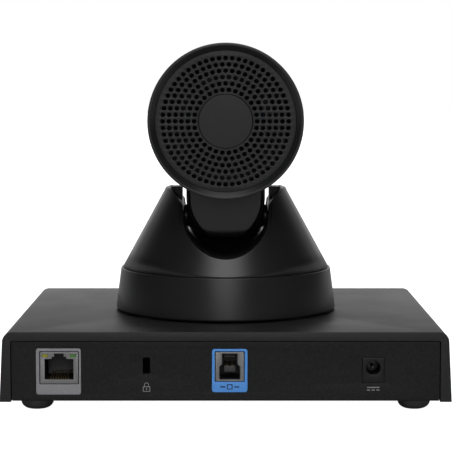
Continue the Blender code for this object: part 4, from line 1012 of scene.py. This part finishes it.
def hub_profile():
    turn = math.degrees(math.asin(HUB_HALF / HUB_BARREL))
    end = [(r, x) for x, r in arc((0.0, HUB_RADIUS - HUB_BARREL), HUB_BARREL, 90.0, 90.0 - turn, 20)]
    return [(0, -HUB_HALF)] + [(r, -x) for r, x in reversed(end[1:])] + end + [(0, HUB_HALF)]


NECK_TOP = 93.5 * MM
NECK_FLANK_RADIUS = 20.3 * MM
NECK_FLANK_Z = 85.5 * MM
COLUMN_TOP = 92.6 * MM
CORE_RADIUS = 7.0 * MM
NECK_VOXEL = 0.32 * MM


def neck_outline(grow):
    """Rear view of the neck, its flanks grow millimetres further out."""
    right = arc(((grow - 4.0) * MM, NECK_FLANK_Z), NECK_FLANK_RADIUS, -62.0, 0.0, 24)
    right += [((16.3 + grow) * MM, NECK_TOP)]
    return right + [(-x, z) for x, z in reversed(right)]


def neck_side():
    """Side view of the neck: flat faces that turn under the hub with a fillet."""
    flat = HUB_RADIUS - NECK_FILLET
    under = arc((-flat, NECK_FACE_BOTTOM), NECK_FILLET, 180.0, 270.0, 12)
    under += arc((flat, NECK_FACE_BOTTOM), NECK_FILLET, 270.0, 360.0, 12)
    return under + [(HUB_RADIUS, COLUMN_TOP), (-HUB_RADIUS, COLUMN_TOP)]


def make_neck():
    """Barrel-shaped hub, grown smoothly into the column that carries the drum."""
    hub = revolve(hub_profile(), "X", (0, 0, TILT_Z), 96)
    parts = [revolve(rod(BOSS_RADIUS, (-BOSS_END, BOSS_END)), "X", (0, 0, TILT_Z), 48)]
    core_side = arc((0.0, TILT_Z), CORE_RADIUS, 180.0, 360.0, 24)
    core_side += [(CORE_RADIUS, COLUMN_TOP), (-CORE_RADIUS, COLUMN_TOP)]
    for side, grow in ((neck_side(), 0.0), (core_side, 1.5)):
        column = carve(prism(side, "X", (-22 * MM, 22 * MM)),
                       [prism(neck_outline(grow), "Y", (-15 * MM, 15 * MM))], "INTERSECT")
        parts.append(column)
    seat = revolve(rod(HEAD_RADIUS - 0.5 * MM, (-0.03, 0.03)), "Y", (0, 0, HEAD_Z), 160)
    merged = bmesh.new()
    for part in [hub] + parts:
        merged.from_mesh(part)
    mesh = bpy.data.meshes.new("neck")
    merged.to_mesh(mesh)
    merged.free()
    holder = place("neck", mesh)
    remesh = holder.modifiers.new("remesh", "REMESH")
    remesh.mode = "VOXEL"
    remesh.voxel_size = NECK_VOXEL
    smooth = holder.modifiers.new("smooth", "SMOOTH")
    smooth.factor = 0.5
    smooth.iterations = 8
    result = bake(holder)
    bpy.data.objects.remove(holder)
    result = carve(result, [seat])
    finish_piece("neck_and_hub", result, shell_black, "head", ("tilt_neck",), 50.0)


# ---------------------------------------------------------------- head

HEAD_WALL = 2.4 * MM


def turn_on_head(name, corners, steps, material, node):
    """Large turned piece about the drum's axis."""
    mesh = revolve(filleted(corners, steps=steps), "Y", (0, 0, HEAD_Z), 256)
    finish_piece(name, mesh, material, "head", (node,), 40.0)


def make_head_shell():
    low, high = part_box("head_shell")
    inner = HEAD_RADIUS - HEAD_WALL
    corners = [(inner, low.y, 0), (HEAD_RADIUS, low.y, 0.3 * MM), (HEAD_RADIUS, high.y, 0.2 * MM),
               (inner, high.y, 0)]
    turn_on_head("head_drum", corners, 4, shell_black, "head_shell")


def make_rear_bezel():
    rear = bezel_high.y
    plate_y = grille_high.y + 0.1 * MM
    bore = 30.35 * MM
    corners = [
        (HEAD_RADIUS - HEAD_WALL, bezel_low.y, 0), (HEAD_RADIUS, bezel_low.y, 0.2 * MM),
        (HEAD_RADIUS, rear, 1.1 * MM), (32.4 * MM, rear, 0.35 * MM), (bore, plate_y, 0.2 * MM),
        (bore, bezel_low.y, 0)]
    turn_on_head("rear_rim", corners, 7, shell_black, "rear_bezel")


PLATE_RADIUS = 30.25 * MM
PLATE_BORE = 11.75 * MM
CAP_RADIUS = 11.55 * MM
CAP_THICKNESS = 1.6 * MM
HOLE_RADIUS = 0.98 * MM
HOLE_RINGS = 6
HOLE_OUTER_RING = 27.0 * MM
HOLE_PITCH = 2.7 * MM
HOLES_OUTSIDE = 60
HOLES_LESS_EACH_RING = 6


def make_grille():
    """Round plate with six rings of holes, each ring with six holes fewer than the next one out."""
    outer = ring_outline((0.0, HEAD_Z), PLATE_RADIUS, 200)
    holes = [ring_outline((0.0, HEAD_Z), PLATE_BORE, 96)]
    for ring in range(HOLE_RINGS):
        radius = HOLE_OUTER_RING - HOLE_PITCH * ring
        count = HOLES_OUTSIDE - HOLES_LESS_EACH_RING * ring
        for i in range(count):
            angle = FULL_TURN * i / count
            centre = (radius * math.cos(angle), HEAD_Z + radius * math.sin(angle))
            holes.append(ring_outline(centre, HOLE_RADIUS, 20))
    mesh = plate(outer, holes, "Y", (grille_low.y, grille_high.y), 0.14 * MM, 1)
    finish_piece("perforated_plate", mesh, grille_black, "head", ("rear_grille",))


def make_cap():
    """Centre disc with a rounded edge."""
    face = cap_high.y
    corners = [(0, face - CAP_THICKNESS, 0), (CAP_RADIUS, face - CAP_THICKNESS, 0),
               (CAP_RADIUS, face, 0.25 * MM), (0, face, 0)]
    mesh = revolve(filleted(corners, False, 5), "Y", (0, 0, HEAD_Z), 128)
    finish_piece("centre_disc", mesh, grille_black, "head", ("grille_cap",))


def make_front():
    """Glossy front ring that slopes in towards the lens."""
    front = front_low.y
    back = front_high.y
    inner = 21.6 * MM
    corners = [
        (HEAD_RADIUS, back, 0.2 * MM), (HEAD_RADIUS, front, 1.6 * MM), (30.2 * MM, front, 0.5 * MM),
        (28.6 * MM, front + 0.9 * MM, 0.3 * MM), (inner, front + 5.0 * MM, 0.4 * MM), (inner, back, 0),
        (HEAD_RADIUS - 2.7 * MM, back, 0)]
    turn_on_head("front_rim", corners, 6, gloss_black, "front_bezel")


# ---------------------------------------------------------------- stage, camera, light

def make_stage():
    """Pale floor that glows paper white to the camera only."""
    bpy.ops.mesh.primitive_plane_add(size=12.0, location=(0, 0, 0))
    floor = bpy.context.object
    floor.name = "floor"
    material = make_material("pale_floor", (0.8, 0.8, 0.8), 0.7, Emission_Color=(1, 1, 1, 1))
    tree = material.node_tree
    path = add_node(tree, "ShaderNodeLightPath")
    glow = add_node(tree, "ShaderNodeMath", operation="MULTIPLY")
    glow.inputs[1].default_value = FLOOR_GLOW
    tree.links.new(path.outputs["Is Camera Ray"], glow.inputs[0])
    tree.links.new(glow.outputs[0], tree.nodes["Principled BSDF"].inputs["Emission Strength"])
    floor.data.materials.append(material)


CAMERA_PLACE = (-0.00015, 0.7391, 0.1387)
CAMERA_PITCH = math.radians(5.155)
CAMERA_LENS = 129.4
CAMERA_SENSOR = 36.0


def make_camera():
    data = bpy.data.cameras.new("camera")
    data.sensor_width = CAMERA_SENSOR
    data.lens = CAMERA_LENS
    data.clip_start = 0.01
    data.clip_end = 30.0
    camera = place("camera", data)
    camera.location = CAMERA_PLACE
    camera.rotation_euler = (math.pi / 2 - CAMERA_PITCH, 0.0, math.pi)
    bpy.context.scene.camera = camera


FLOOR_GLOW = 1.0
# Soft lights at a distance: direction, cosine at the rim, cosine at the full core, strength
SOFT_LIGHTS = (
    ((0.0, -1.0, 0.10), 0.80, 0.97, 0.45),
    ((0.0, -1.0, 0.10), 0.40, 0.90, 0.40),
    ((0.0, 0.62, 0.78), 0.93, 0.99, 3.50),
    ((0.0, 0.955, 0.30), 0.95, 0.99, 2.20),
    ((0.0, 0.10, 0.995), 0.90, 0.985, 1.20),
    ((0.7, 0.7, 0.2), 0.80, 0.97, 0.06),
    ((-0.7, 0.7, 0.2), 0.80, 0.97, 0.06),
)
ROOM_LIGHT = 0.02


def make_light():
    """Paper white to the camera; to everything else a dark room with soft lights round it."""
    world = bpy.data.worlds.new("studio")
    bpy.context.scene.world = world
    world.use_nodes = True
    tree = world.node_tree
    background = tree.nodes["Background"]
    coordinates = add_node(tree, "ShaderNodeTexCoord")
    total = None
    for direction, rim, core, strength in SOFT_LIGHTS:
        towards = add_node(tree, "ShaderNodeVectorMath", operation="DOT_PRODUCT")
        towards.inputs[1].default_value = Vector(direction).normalized()
        tree.links.new(coordinates.outputs["Generated"], towards.inputs[0])
        lobe = remap(tree, towards.outputs["Value"], 0.0, strength, rim, core,
                     interpolation_type="SMOOTHSTEP")
        sum_node = add_node(tree, "ShaderNodeMath", operation="ADD")
        sum_node.inputs[1].default_value = ROOM_LIGHT
        if total:
            tree.links.new(total, sum_node.inputs[1])
        tree.links.new(lobe, sum_node.inputs[0])
        total = sum_node.outputs[0]
    path = add_node(tree, "ShaderNodeLightPath")
    seen = add_node(tree, "ShaderNodeMix", data_type="FLOAT")
    tree.links.new(path.outputs["Is Camera Ray"], seen.inputs[MIX_FACTOR])
    tree.links.new(total, seen.inputs[MIX_VALUE_A])
    seen.inputs[MIX_VALUE_B].default_value = 1.0
    tree.links.new(seen.outputs[MIX_VALUE_OUT], background.inputs["Strength"])
    background.inputs["Color"].default_value = (1, 1, 1, 1)


bpy.context.scene.view_settings.view_transform = "Standard"
paint_cad_nodes()
make_camera()
make_cover()
make_rear_panel()
make_lock_well()
make_label("ethernet_plate", "ethernet_label", label_grey, "ethernet_jack_shield")
make_label("usb_plate", "usb_label", label_blue, "usb_socket_shell")
make_ethernet_socket()
make_usb_socket()
make_power_socket()
make_marks()
make_feet()
make_remote_window()
make_cover_screws()
make_skirt()
make_yoke_shell()
make_saddle()
make_neck()
make_head_shell()
make_rear_bezel()
make_grille()
make_cap()
make_front()
make_stage()
make_light()
